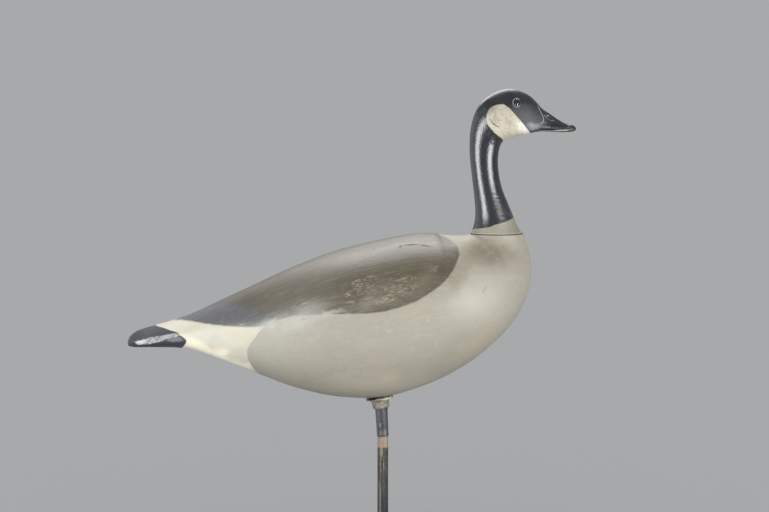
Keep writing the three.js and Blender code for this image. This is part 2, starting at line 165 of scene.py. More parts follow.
# %% Softboxes
def softbox(name, azimuth, rise, distance, width, height, radiance, target):
    """A rectangular lamp that faces the goose. Azimuth 0 is over the camera, and 90 by the bill."""
    turn, lift = math.radians(azimuth), math.radians(rise)
    away = Vector((math.sin(turn) * math.cos(lift), -math.cos(turn) * math.cos(lift), math.sin(lift)))
    lamp = bpy.data.lights.new(name, "AREA")
    lamp.shape = "RECTANGLE"
    lamp.size, lamp.size_y = width, height
    lamp.energy = radiance * math.pi * width * height
    box = bpy.data.objects.new(name, lamp)
    box.location = Vector((0, 0, target)) + away * distance
    box.rotation_euler = away.to_track_quat("Z", "Y").to_euler()
    box.visible_camera = False
    bpy.context.collection.objects.link(box)
    return box


def group_of(name, *members):
    """A collection that tells a lamp which pieces are its own."""
    group = bpy.data.collections.new(name)
    for member in members:
        group.objects.link(member)
    return group


def leave_out(group):
    """Turns a group round: its lamps light all but its members."""
    for member in group.collection_objects:
        member.light_linking.link_state = "EXCLUDE"


LAMPS = [
    # Name, azimuth and rise, distance, width and height in metres, radiance, height of the aim
    ("softbox_left", -44, 0, 1.5, 0.75, 0.84, 9, 0.5),
    ("softbox_right", 44, 0, 1.5, 0.66, 0.95, 10, 0.47),
    ("softbox_above", 181, 70, 1.8, 1.45, 1.15, 5.9, 0.45),
    ("softbox_behind", 188, 41, 1.7, 1.35, 1.3, 1.95, 0.65),
    ("softbox_for_the_head", 184, 50, 1.7, 1.45, 1.6, 1.75, 0.65),
    ("reflector_left", -105, 5, 1.5, 1.8, 1.4, 0.55, 0.5),
]
softboxes = {row[0]: softbox(*row) for row in LAMPS}
all_but_floor = group_of("all_but_floor", floor)
leave_out(all_but_floor)
for box in softboxes.values():
    box.light_linking.receiver_collection = all_but_floor

# The head joins these two groups once it is made
kept_from_above = group_of("kept_from_the_lamp_above", floor)
softboxes["softbox_above"].light_linking.receiver_collection = kept_from_above
lit_from_behind = group_of("lit_by_the_lamp_behind")
softboxes["softbox_for_the_head"].light_linking.receiver_collection = lit_from_behind

floor_only = group_of("floor_only", floor)
floor_lamp = bpy.data.lights.new("floor_lamp", "SUN")
floor_lamp.color = [c / BACKDROP[1] for c in BACKDROP[:3]]
floor_lamp.energy = BACKDROP[1] * math.pi * (1 - FLOOR_ALBEDO) / FLOOR_ALBEDO
floor_lamp.angle = math.radians(60)
floor_light = bpy.data.objects.new("floor_lamp", floor_lamp)
floor_light.light_linking.receiver_collection = floor_only
bpy.context.collection.objects.link(floor_light)
print("lamps:", list(softboxes) + [floor_light.name])

# %% [markdown]
# A carver works to templates: cross-sections at stations along the piece, with the wood run
# smoothly from one to the next. The model is made the same way, with the CAD part's own ribs.

# %% Ribs, and a smooth run through them
def rib(back, front, half_width, waist=0.5, crest=1.0, keel=1.0):
    """A cross-section: its two ends on the side view, half its width, and how round its halves are."""
    return np.array([*back, *front, half_width, waist, crest, keel], float)


def flow(values, at):
    """The value at a place along a smooth run through a row of values."""
    last = len(values) - 1
    i = min(int(at), last - 1)
    t = at - i
    a, b, c, d = (values[k] for k in (max(i - 1, 0), i, i + 1, min(i + 2, last)))
    start, end = (c - a) / 2, (d - b) / 2
    return (2 * b - 2 * c + start + end) * t**3 + (3 * c - 3 * b - 2 * start - end) * t**2 + start * t + b


def stations(ribs, spacing):
    """Places along the ribs, about as far apart as the spacing of each stretch says."""
    places = [0.0]
    for i, (a, b) in enumerate(zip(ribs, ribs[1:])):
        step = max(math.dist(a[:2], b[:2]), math.dist(a[2:4], b[2:4]))
        count = max(1, round(step / spacing(i)))
        places += [i + (k + 1) / count for k in range(count)]
    return places


def section(one, sides):
    """The points of a rib, from the left side over the back, down the right side and underneath."""
    back, front, half_width, waist, crest, keel = one[:2], one[2:4], *one[4:]
    angle = np.arange(sides) * 2 * np.pi / sides
    up = np.sin(angle)
    above = waist + (1 - waist) * np.maximum(up, 0) ** crest
    below = waist * (1 - np.maximum(-up, 0) ** keel)
    share = np.where(up >= 0, above, below)[:, None]
    side = front + share * (back - front)
    return np.stack([side[:, 0], half_width * np.cos(angle), side[:, 1]], axis=1)


print("a run through 0, 1, 4:", [round(float(flow([0.0, 1.0, 4.0], at / 2)), 2) for at in range(5)])

# %% [markdown]
# A circle is added in edit mode and laid on the first ring. It is extruded, and each new loop is
# laid on the next ring. Both ends are closed by a last extrusion that is merged to a point. The
# cage is rounded with the Subdivision Surface modifier, and what a material needs to know of a
# place, such as which way the grain runs there, is kept on the mesh's corners.

# %% Rings to a closed mesh
CRISP_CREASE = 0.9


def extrude_along(name, rings, crisp=()):
    """A closed mesh over a row of rings in mm. The crisp rings keep their edge when it is rounded."""
    bpy.ops.object.select_all(action="DESELECT")
    bpy.ops.mesh.primitive_circle_add(vertices=len(rings[0]), radius=MM, enter_editmode=True)
    piece = bpy.context.object
    piece.name = piece.data.name = name
    for number, ring in enumerate(rings):
        if number:
            bpy.ops.mesh.extrude_region_move()
        cage = bmesh.from_edit_mesh(piece.data)
        newest = [corner for corner in cage.verts if corner.select]
        for corner, place in zip(newest, ring):
            corner.co = Vector(place) * MM
        bmesh.update_edit_mesh(piece.data, loop_triangles=False, destructive=False)
    bpy.ops.mesh.extrude_region_move()
    bpy.ops.mesh.merge(type="CENTER")
    bpy.ops.mesh.select_non_manifold(extend=False, use_wire=False, use_multi_face=False)
    bpy.ops.mesh.extrude_region_move()
    bpy.ops.mesh.merge(type="CENTER")
    bpy.ops.mesh.select_all(action="SELECT")
    bpy.ops.mesh.normals_make_consistent(inside=False)
    sides = len(rings[0])
    for number in crisp:
        bpy.ops.mesh.select_all(action="DESELECT")
        cage = bmesh.from_edit_mesh(piece.data)
        cage.verts.ensure_lookup_table()
        for corner in cage.verts[number * sides : (number + 1) * sides]:
            corner.select = True
        cage.select_flush(True)
        bpy.ops.transform.edge_crease(value=CRISP_CREASE)
    bpy.ops.object.mode_set(mode="OBJECT")
    return piece


def subdivide(piece, levels):
    """Rounds a cage with the Subdivision Surface modifier, and applies it."""
    modifier = piece.modifiers.new("round", "SUBSURF")
    modifier.levels = modifier.render_levels = levels
    bpy.context.view_layer.objects.active = piece
    bpy.ops.object.modifier_apply(modifier="round")
    bpy.ops.object.shade_smooth()


def places_of(piece, what="co"):
    """Where a mesh's corners are, in mm, or with "normal" which way they face."""
    flat = np.empty(len(piece.data.vertices) * 3)
    piece.data.vertices.foreach_get(what, flat)
    return flat.reshape(-1, 3) / (MM if what == "co" else 1)


def move_to(piece, places):
    """Puts a mesh's corners at new places in mm."""
    piece.data.vertices.foreach_set("co", (places * MM).ravel())
    piece.data.update()


def keep(piece, name, values, kind="FLOAT"):
    """Keeps a value for each corner on the mesh, where a material can read it."""
    layer = piece.data.attributes.new(name, kind, "POINT")
    layer.data.foreach_set("vector" if kind == "FLOAT_VECTOR" else "value", np.ravel(values))


print("a crisp ring's crease:", CRISP_CREASE)

# %% [markdown]
# The body is one block of wood, hollow or not, from a thin flat tail with a sharp edge along its
# sides to a full breast. Its ribs stand upright up to the shoulders and then fan round the breast
# to the flat seat of the neck. Sizes are shares of its length, from the tip of the tail and from
# the belly's lowest line, as in the CAD part.

# %% Body ribs
BODY_LENGTH = 686
HALF_WIDTH = 125
TAIL_X, BELLY_Z = [1000 * c for c in (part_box("body")[0].x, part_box("body")[0].z)]
SEAT_X, SEAT_Z = TAIL_X + 0.9134 * BODY_LENGTH, BELLY_Z + 0.409 * BODY_LENGTH
SEAT_HALF_LENGTH, SEAT_HALF_WIDTH = 45, 34

BODY_SHAPE = [
    [(0, 0.144), (0.0005, 0.131), 0.1, 0.5, 1.6, 0.8],
    [(0.005, 0.155), (0.005, 0.129), 0.216, 0.47, 1.8, 0.7],
    [(0.016, 0.163), (0.017, 0.128), 0.288, 0.45, 1.9, 0.65],
    [(0.036, 0.172), (0.036, 0.128), 0.344, 0.45, 2, 0.65],
    [(0.08, 0.184), (0.08, 0.128), 0.385, 0.47, 2, 0.6],
    [(0.13, 0.199), (0.13, 0.1265), 0.408, 0.52, 1.6, 0.5],
    [(0.175, 0.217), (0.175, 0.119), 0.456, 0.52, 1.2, 0.46],
    [(0.239, 0.247), (0.234, 0.098), 0.56, 0.5, 1, 0.52],
    [(0.318, 0.284), (0.318, 0.064), 0.712, 0.5, 1, 0.75],
    [(0.412, 0.327), (0.422, 0.025), 0.864, 0.5, 1, 0.95],
    [(0.511, 0.365), (0.526, 0.0035), 0.968],
    [(0.61, 0.39), (0.639, 0.0035), 1],
    [(0.694, 0.4075), (0.748, 0.037), 0.99],
]
# The breast's ends are measured from the seat's back end and front end instead
BREAST_SHAPE = [
    [(-0.096, 0.0015), (-0.142, -0.3265), 0.912],
    [(-0.07, -0.0025), (-0.076, -0.2755), 0.769],
    [(-0.049, -0.004), (-0.03, -0.2275), 0.593],
    [(-0.03, -0.0045), (0, -0.1785), 0.407],
    [(-0.014, -0.004), (0.017, -0.129), 0.236],
    [(-0.004, -0.0025), (0.02, -0.0785), 0.099],
    [(-0.0005, -0.001), (0.013, -0.036), 0.022],
    [(0, 0), (0, 0), 0],
]


def scaled(place, size, x, z):
    """A place in mm, from its shares of a size and the point that they are measured from."""
    return (x + place[0] * size, z + place[1] * size)


body_ribs = [
    rib(
        scaled(back, BODY_LENGTH, TAIL_X, BELLY_Z),
        scaled(front, BODY_LENGTH, TAIL_X, BELLY_Z),
        spread * HALF_WIDTH,
        *roundness,
    )
    for back, front, spread, *roundness in BODY_SHAPE
] + [
    rib(
        scaled(back, BODY_LENGTH, SEAT_X - SEAT_HALF_LENGTH, SEAT_Z),
        scaled(front, BODY_LENGTH, SEAT_X + SEAT_HALF_LENGTH, SEAT_Z),
        SEAT_HALF_WIDTH + spread * (HALF_WIDTH - SEAT_HALF_WIDTH),
    )
    for back, front, spread in BREAST_SHAPE
]
print("ribs in the body:", len(body_ribs))

# %% [markdown]
# Three extra rings on the seat, and a crease round it, keep its rim crisp when the cage is
# rounded. The corners also keep how far along the body and how far round from the ridge they are:
# the brush strokes follow that.

# %% Carve the body
BODY_SIDES = 56
BODY_SPACING = 9.5
SEAT_RINGS = (0.995, 0.96, 0.6)


def with_grain(name, ribs, places, sides, crisp, extra_rings=()):
    """Extrudes a form along its ribs, and keeps the way its grain runs on its corners."""
    ribs_here = [flow(ribs, at) for at in places]
    rings = [section(one, sides) for one in ribs_here] + list(extra_rings)
    middles = [(one[:2] + one[2:4]) / 2 for one in ribs_here]
    middles += [ring[:, [0, 2]].mean(0) for ring in extra_rings]
    along = np.cumsum([0.0] + [math.dist(a, b) for a, b in zip(middles, middles[1:])])
    grain = []
    for ring, distance in zip(rings, along):
        steps = np.linalg.norm(np.roll(ring, -1, 0) - ring, axis=1)
        reached = np.concatenate([[0], np.cumsum(steps)[:-1]])
        ridge = reached[sides // 4]
        girth = steps.sum()
        round_by = np.abs((reached - ridge + girth / 2) % girth - girth / 2)
        grain += [(distance, r, y) for r, y in zip(round_by, ring[:, 1])]
    piece = extrude_along(name, rings, [crisp])
    grain += [grain[-1], grain[0]]
    keep(piece, "grain", np.array(grain) * MM, "FLOAT_VECTOR")
    return piece


places = stations(body_ribs, lambda i: BODY_SPACING)
seat_ring = section(body_ribs[-1], BODY_SIDES)
seat_middle = seat_ring.mean(0)
inner_rings = [seat_middle + (seat_ring - seat_middle) * share for share in SEAT_RINGS]
body = with_grain("goose_body", body_ribs, places, BODY_SIDES, len(places) - 1, inner_rings)
subdivide(body, 2)
print("body corners:", len(body.data.vertices))

# %% [markdown]
# No carved surface is perfectly fair: the spokeshave and rasp leave very low swells, which show
# only where a highlight runs over them. They are low, even noise, pushed along the surface. The
# belly is pared flat where the iron plate sits.

# %% Tool swells and the flat under the plate
LEAN, TILT = math.radians(3), math.radians(9)
SHOULDER_Z = 199
FLANGE_AT = 49.3
PLATE_TOP = 19
PLATE_RADIUS = 23.5
PLATE_GAP = 0.3
PARED_PAST_PLATE = 6


def swells(piece, size, depth, seed=0.0):
    """Low swells that many millimetres across, pushed along the surface."""
    spots, facing = places_of(piece), places_of(piece, "normal")
    rise = [noise.noise(Vector(spot) / size + Vector((seed, 0, 0))) for spot in spots]
    move_to(piece, spots + facing * np.array(rise)[:, None] * depth)


def up_the(length, tilt, x=0.0, z=0.0):
    """A place some way up a line that leans back from a point."""
    return np.array([x - length * math.sin(tilt), 0.0, z + length * math.cos(tilt)])


swells(body, 70, 0.5)
swells(body, 24, 0.16, 7)
flange_base = up_the(FLANGE_AT, LEAN, 0, SHOULDER_Z)
plate_middle = flange_base + up_the(PLATE_TOP, TILT)
plate_up = up_the(1, TILT)
spots = places_of(body)
height = (spots - plate_middle) @ plate_up - PLATE_GAP
beside = np.linalg.norm(spots - plate_middle - np.outer(height, plate_up), axis=1)
under = (height < 0) & (beside < PLATE_RADIUS + PARED_PAST_PLATE)
move_to(body, spots - np.outer(np.where(under, height, 0), plate_up))
print("corners pared for the plate:", int(under.sum()))

# %% [markdown]
# The painter's colours meet along lines that were drawn on the side of the goose. They are kept
# as templates here: outlines on an upright plane through the stick, in millimetres, as seen from
# the camera. Each corner of the mesh keeps how far inside an outline it lies, on either side of
# the goose, and the materials turn that distance into a painted edge.

# %% Templates for the paint
WING = [
    (-358, 399), (-341, 398.5), (-325, 396.5), (-299, 392), (-251, 387), (-202, 388), (-183, 397),
    (-158, 404), (-124, 407), (-90, 409), (-64, 409), (-5, 412), (51, 428), (77, 443), (92, 453),
    (102, 461.5), (114, 475.5), (123, 491), (129, 507), (129.5, 514), (124, 527), (111, 538),
    (95, 544),
]
FLANK = [
    (-202, 387), (-212, 376), (-221, 364), (-229, 352), (-231, 342), (-229, 331), (-223, 319),
    (-213, 307),
]
TAIL = [
    (-392, 390), (-376, 386), (-359, 380), (-349, 377), (-346, 373), (-340, 369), (-335, 364),
    (-335, 359), (-338, 355), (-342, 351),
]
# The strip under the tail's edge, painted as the highlight along that edge, over worn paint
TAIL_EDGE_HIGHLIGHT_AND_WEAR = [
    (-424, 361), (-410, 364.5), (-395, 368.6), (-370, 373), (-346, 376.5), (-345, 372), (-358, 369),
    (-369, 366), (-375, 362), (-388, 359.5), (-402, 356.5), (-417, 356.5),
]
print("points along the wing's edge:", len(WING))

# %% [markdown]
# The ridge of the back would see a template edge-on, so places are pushed out a little there. Each
# line is closed to an outline by corners far off the goose, so only the line itself makes an edge.

# %% Keep the outlines on the body
RIDGE_ROUNDING = 8


def drawn(line, steps=6):
    """A smooth line through a row of points, as a row of more points."""
    points = [np.array(point, float) for point in line]
    return [flow(points, at / steps) for at in range((len(points) - 1) * steps + 1)]


def on_template(spots):
    """Where the camera sees each place against the upright plane, the same for both sides."""
    depth = -np.hypot(spots[:, 1], RIDGE_ROUNDING)
    share = eye_place[1] / (eye_place[1] - depth)
    middle = eye_place[[0, 2]]
    return middle + (spots[:, [0, 2]] - middle) * share[:, None]


def depth_in(outline, spots):
    """How far inside a closed outline each place lies, or below zero how far outside."""
    corners = np.array(outline, float)
    nearest = np.full(len(spots), np.inf)
    inside = np.zeros(len(spots), bool)
    for (x, z), (dx, dz) in zip(corners, np.roll(corners, -1, 0) - corners):
        ax, az = spots[:, 0] - x, spots[:, 1] - z
        share = np.clip((ax * dx + az * dz) / max(dx**2 + dz**2, 1e-9), 0, 1)
        nearest = np.minimum(nearest, np.hypot(ax - share * dx, az - share * dz))
        crossed = (az < 0) != (az < dz)
        inside ^= crossed & (ax < az * dx / (dz if dz else 1))
    return np.where(inside, nearest, -nearest)


def keep_seen(piece):
    """Keeps each corner's place on the templates, and its y for the side, in metres."""
    flat = on_template(places_of(piece))
    keep(piece, "seen", np.insert(flat, 1, places_of(piece)[:, 1], axis=1) * MM, "FLOAT_VECTOR")
    return flat


BODY_AREAS = {
    "wing": drawn(WING) + [(95, 800), (-370, 800)],
    "flank": drawn(FLANK) + [(-205, 200), (600, 200), (600, 800), (-202, 800)],
    "tail": drawn(TAIL) + [(-342, 200), (-600, 200), (-600, 700), (-396, 700)],
    "tail_edge_highlight_and_wear": drawn(TAIL_EDGE_HIGHLIGHT_AND_WEAR),
}
seen = keep_seen(body)
for name, outline in BODY_AREAS.items():
    keep(body, name, depth_in(outline, seen))
print("corners inside the wing:", int((depth_in(BODY_AREAS["wing"], seen) > 0).sum()))

# %% [markdown]
# Old house paint on wood is a brushed, half-gloss film. What the eye reads is its cloudiness, warm
# over cool, the fine lengthwise marks of the brush, edges that waver a little, and rubs where
# handling has taken the colour back. Each of these is a pattern with a real size in millimetres.

# %% Patterns that the paints share
def per_metre(size):
    """The noise scale for a pattern whose parts are that many millimetres apart."""
    return 1000 / size


def clouds(tree, place, size, low=0.35, high=0.65, detail=3.0, roughness=0.5, more=None, by=0.0):
    """Soft patches about that size, from 0 to 1. There are more of them where "more" is high."""
    settings = {"Vector": place, "Scale": per_metre(size), "Detail": detail, "Roughness": roughness}
    raw = add(tree, "ShaderNodeTexNoise", settings).outputs["Fac"]
    if more is not None:
        raw = add(tree, "ShaderNodeMath", {0: more, 1: by, 2: raw}, operation="MULTIPLY_ADD").outputs[0]
    levels = {0: raw, 1: low, 2: high}
    return add(tree, "ShaderNodeMapRange", levels, interpolation_type="SMOOTHSTEP").outputs[0]


def strokes(tree, grain, length, width, *levels, **others):
    """Brush marks that run along the grain, from 0 to 1."""
    stretch = {"Vector": grain, "Scale": (width / length, 1.0, 1.0)}
    drawn_out = add(tree, "ShaderNodeMapping", stretch).outputs[0]
    return clouds(tree, drawn_out, width, *levels, **others)


def spot(tree, place, centre, radii, turn=0.0, soft=1.0):
    """1 in the middle of an oval, falling to 0 at its rim. A very long and thin one is a scratch."""
    settings = {
        "Vector": place,
        "Location": [c * MM for c in centre],
        "Rotation": (0.0, math.radians(turn), 0.0),
        "Scale": [r * MM for r in radii],
    }
    local = add(tree, "ShaderNodeMapping", settings, vector_type="TEXTURE").outputs[0]
    distance = add(tree, "ShaderNodeVectorMath", {0: local}, operation="LENGTH").outputs["Value"]
    levels = {0: distance, 1: 1.0, 2: 1.0 - soft}
    return add(tree, "ShaderNodeMapRange", levels, interpolation_type="SMOOTHSTEP").outputs[0]


def painted_to(tree, outline, place, soft=1.0, waver=1.0, size=12.0):
    """1 inside an outline that is kept on the mesh, with a hand-painted edge."""
    depth = add(tree, "ShaderNodeAttribute", attribute_name=outline).outputs["Fac"]
    settings = {"Vector": place, "Scale": per_metre(size), "Detail": 4.0, "Roughness": 0.6}
    shake = add(tree, "ShaderNodeTexNoise", settings).outputs["Fac"]
    shift = add(tree, "ShaderNodeMath", {0: shake, 1: 2 * waver, 2: -waver}, operation="MULTIPLY_ADD")
    total = add(tree, "ShaderNodeMath", {0: depth, 1: shift.outputs[0]}, operation="ADD").outputs[0]
    levels = {0: total, 1: -soft, 2: soft}
    return add(tree, "ShaderNodeMapRange", levels, interpolation_type="SMOOTHSTEP").outputs[0]


print("noise scale for 3 mm strokes:", round(per_metre(3), 1))

# %% [markdown]
# Paint is built up in coats, each laid over the last where its pattern says. Patterns can be
# joined or crossed, and the places that they are drawn on can be shaken, so that nothing has the
# smooth outline of the oval that it started from.

# %% Coats of paint, and ragged edges
def over(tree, under, cover, mask, strength=1.0):
    """One colour laid over another where the mask says."""
    share = add(tree, "ShaderNodeMath", {0: mask, 1: strength}, operation="MULTIPLY").outputs[0]
    return add(tree, "ShaderNodeMix", {0: share, 6: under, 7: cover}, data_type="RGBA").outputs[2]


def coats(tree, under, table):
    """Coats laid one after another: each row is a colour, the mask of where it is, and its share."""
    for code, mask, share in table:
        under = over(tree, under, colour(code), mask, share)
    return under


def together(tree, masks, how):
    """Masks taken together: MULTIPLY is where all of them are, and MAXIMUM where any of them is."""
    result = masks[0]
    for mask in masks[1:]:
        result = add(tree, "ShaderNodeMath", {0: result, 1: mask}, operation=how).outputs[0]
    return result


def ragged(tree, place, size, by):
    """Places shaken by up to that many millimetres, so that what is drawn on them is ragged."""
    noise_settings = {"Vector": place, "Scale": per_metre(size), "Detail": 3.0}
    shake = add(tree, "ShaderNodeTexNoise", noise_settings).outputs["Color"]
    settings = {0: shake, 1: (-0.5, -0.5, -0.5)}
    centred = add(tree, "ShaderNodeVectorMath", settings, operation="ADD").outputs[0]
    settings = {0: centred, 1: [4 * by * MM] * 3, 2: place}
    return add(tree, "ShaderNodeVectorMath", settings, operation="MULTIPLY_ADD").outputs[0]


def by_height(tree, place, start, full):
    """0 at one height in mm and 1 at another, in a straight run between them."""
    height = add(tree, "ShaderNodeSeparateXYZ", {0: place}).outputs[2]
    return add(tree, "ShaderNodeMapRange", {0: height, 1: start * MM, 2: full * MM}).outputs[0]


print("masks are taken together by:", "MULTIPLY", "MAXIMUM")

# %% [markdown]
# Some marks belong to one place: a rub, a scratch, a warm or a cool patch. Each is an oval on the
# templates, given in tables as its middle, its two radii in millimetres and its slope in degrees.
# Changes of colour are on both sides of the goose. Most scratches, rubs and flecks are on its
# right side, as the photograph shows them, and the left side has a few flecks of its own.

# %% Marks with a place of their own
RIGHT, LEFT = -1, 1
EVERYWHERE = 100000


def blotch(tree, seen, x, z, half_length, half_height, slope=0, soft=1.0):
    """An oval on the templates, the same on both sides of the goose."""
    return spot(tree, seen, (x, 0, z), (half_length, EVERYWHERE, half_height), -slope, soft)


def blotches(tree, seen, table, side=None, soft=1.0):
    """The ovals of a table in one mask, on both sides or on one."""
    mask = together(tree, [blotch(tree, seen, *row, soft=soft) for row in table], "MAXIMUM")
    if side is None:
        return mask
    y = add(tree, "ShaderNodeSeparateXYZ", {0: seen}).outputs[1]
    beside = add(tree, "ShaderNodeMapRange", {0: y, 1: 0.0, 2: 4 * MM * side}).outputs[0]
    return together(tree, [mask, beside], "MULTIPLY")


def tinted(tree, seen, under, table):
    """Soft changes of colour over a coat: each row is a colour, its share and an oval."""
    rows = [(code, blotch(tree, seen, *oval), share) for code, share, *oval in table]
    return coats(tree, under, rows)


print("the side the camera sees:", RIGHT)

# %% [markdown]
# The body's first coat is a warm putty grey, brushed on lengthwise over a cooler one. It is cooler
# behind and paler on the breast. Under the belly it is paler still, as painted light from below, and
# a brown painted shade lies on the breast under the neck.

# %% Flank coat
body_paint, tree, shader = finish_of("brushed_oil_paint_body", "#9c978a", 0.42)
place = add(tree, "ShaderNodeTexCoord").outputs["Object"]
grain = add(tree, "ShaderNodeAttribute", attribute_name="grain").outputs["Vector"]
seen = add(tree, "ShaderNodeAttribute", attribute_name="seen").outputs["Vector"]
frayed = ragged(tree, seen, 6, 1.2)
smudged = ragged(tree, seen, 40, 9)

flank = over(tree, colour("#949085"), colour("#979183"), clouds(tree, place, 90))
flank = tinted(tree, smudged, flank, [
    ("#9a998b", 0.9, -190, 345, 100, 70),
    ("#969488", 0.8, 45, 372, 90, 40),
    ("#a4a195", 1.0, 172, 436, 70, 80),
    ("#a19885", 0.9, 150, 350, 95, 24, 42),
    # Painted light: the underside of the belly is made paler, as if lit from below
    ("#b6af9b", 0.6, 15, 287, 175, 32),
    ("#9c9480", 0.5, 60, 415, 60, 16, 15),
    ("#7d7868", 0.85, 114, 474, 66, 36, 49),
])
flank = coats(tree, flank, [
    ("#a3a094", strokes(tree, grain, 110, 4, 0.48, 0.75, 4.0, 0.6), 0.35),
    ("#8a8577", strokes(tree, grain, 80, 3, 0.5, 0.8, 4.0, 0.6), 0.3),
    ("#989a8f", strokes(tree, grain, 45, 12, 0.5, 0.75), 0.4),
])
# Painted shade: a brown shade on the breast under the neck, laid over the brush strokes
flank = tinted(tree, smudged, flank, [
    ("#746b59", 0.85, 178, 512, 88, 44, -8),
    ("#756d5e", 0.6, 186, 518, 50, 22, -8),
])
flank = coats(tree, flank, [
    ("#a5a291", clouds(tree, place, 14, 0.48, 0.7, 5.0, 0.7), 0.3),
    ("#87826f", clouds(tree, place, 8, 0.52, 0.74, 5.0, 0.7), 0.3),
])
print("nodes after the flank's coat:", len(tree.nodes))

# %% [markdown]
# The wing's coat is thin: brown in front, greyer in the middle and slate at the back. Rubbing has
# gone through it in short lengthwise flecks to the cream and yellow undercoats.

# %% Wing coat
wing = over(tree, colour("#4b4435"), colour("#514a3b"), strokes(tree, grain, 120, 9, 0.4, 0.7))
wing = tinted(tree, smudged, wing, [
    ("#5c564c", 1.0, -120, 440, 95, 110),
    ("#605e56", 0.9, -175, 410, 75, 60),
    ("#505153", 1.0, -300, 400, 125, 60),
    ("#3f4144", 0.9, -335, 402, 60, 26),
    ("#686253", 0.7, 70, 462, 36, 22, 30),
    ("#625b4e", 0.9, -10, 424, 110, 20, 8),
    ("#625b4e", 0.8, 62, 440, 46, 16, 34),
    ("#6b6457", 0.5, 10, 447, 55, 24, 8),
])
LOW_EDGE = [(-115, 426, 85, 16, 6), (-25, 426, 75, 14, 4), (-180, 407, 40, 12, 12)]
low_edge = blotches(tree, smudged, LOW_EDGE, RIGHT)
wing = coats(tree, wing, [
    ("#55565a", blotch(tree, smudged, -262, 397, 112, 36, soft=0.4), 0.9),
    ("#433d33", strokes(tree, grain, 60, 2.5, 0.5, 0.85), 0.4),
    ("#676255", strokes(tree, grain, 80, 3, 0.52, 0.85), 0.22),
    ("#85827a", strokes(tree, grain, 26, 4, 0.45, 0.95, 5.0, 0.7, more=low_edge, by=0.22), 0.6),
])

PINK_FLECKS = [
    (-20, 471, 22, 10, 12), (-60, 444, 24, 8, 5), (-32, 452, 32, 16), (30, 450, 40, 20),
    (85, 486, 14, 12, 30),
]
CREAM_FLECKS = [
    (40, 469, 26, 8, 10), (-43, 461, 15, 12), (-54, 429, 14, 4), (-64, 442, 14, 5), (0, 432, 34, 8, 8),
]
YELLOW_FLECKS = [(21, 444, 26, 8, 14), (54, 457, 18, 6, 16), (4, 436, 14, 4)]
LEFT_FLECKS = [(-5, 450, 45, 10, 6), (60, 468, 22, 6, 14), (-120, 426, 40, 8, 6)]
WIDE_FLECKS = [(0, 448, 100, 36, 8)]
for table, side, code, share in (
    (WIDE_FLECKS, RIGHT, "#7b7467", 0.55),
    (PINK_FLECKS, RIGHT, "#8f867c", 0.5),
    (CREAM_FLECKS, RIGHT, "#b2aa96", 0.45),
    (YELLOW_FLECKS, RIGHT, "#9f997a", 0.45),
    (LEFT_FLECKS, LEFT, "#aaa28e", 0.8),
):
    here = blotches(tree, seen, table, side, 0.6)
    flecks = strokes(tree, grain, 9, 2.4, 0.63, 0.78, 5.0, 0.75, more=here, by=0.16)
    wing = over(tree, wing, colour(code), flecks, share)
print("nodes after the wing's coat:", len(tree.nodes))

# %% [markdown]
# The rump is cream, yellower low down, with a bluish smudge that came off the hands; its underside is
# painted paler, as light from below. The tail is a flat black that reads as slate. A ragged pale strip
# under its edge is a painted highlight along that edge, over paint worn to pale wood.

# %% Rump and tail coats
rump = over(tree, colour("#b5b19f"), colour("#bab7a9"), clouds(tree, grain, 40))
rump = tinted(tree, smudged, rump, [
    # Painted light: the two palest coats lighten the rump's underside, as if lit from below
    ("#f0e7cc", 1.0, -285, 330, 110, 28, -26),
    ("#f8f2de", 1.0, -262, 322, 80, 22, -26),
    ("#bdb292", 0.7, -250, 374, 50, 12, -14),
    ("#c5b9a6", 0.6, -385, 392, 24, 6, 14),
])
smudge = blotches(tree, smudged, [(-285, 366, 36, 14)], RIGHT)
blue_grey = strokes(tree, grain, 12, 5, 0.5, 0.9, 5.0, 0.7, more=smudge, by=0.25)
rump = coats(tree, rump, [
    ("#a3a9aa", blue_grey, 0.5),
    ("#c6c3b4", strokes(tree, grain, 40, 4, 0.55, 0.8), 0.5),
])

tail = over(tree, colour("#27292d"), colour("#323339"), strokes(tree, grain, 30, 3))
grey_patch = blotches(tree, frayed, [(-356, 366, 18, 7, -4)], RIGHT, 0.5)
tail = over(tree, tail, colour("#67696f"), grey_patch, 0.9)
# Painted highlight: the pale strip under the tail's edge stands for the light along it, over worn paint
edge_highlight_and_wear = painted_to(tree, "tail_edge_highlight_and_wear", place, 0.8, 2.2, 6.0)
pits = clouds(tree, grain, 5, 0.35, 0.6, 4.0, 0.6)
# The strip's pale greys are painted highlight as well as paint worn through
bare = over(tree, colour("#5f6064"), colour("#9e9ea0"), pits)
bare = tinted(tree, seen, bare, [("#babab7", 1.0, -412, 361, 16, 7, 12)])
tail = over(tree, tail, bare, edge_highlight_and_wear, 0.95)
print("nodes after the tail's coat:", len(tree.nodes))

# %% [markdown]
# The coats meet along the template lines. The marks of age go over all of them: a white rub where
# the wing meets the flank, a crack along the back, and a few scratches, dabs and spots. A dark line
# in the joint under the neck is painted shadow.

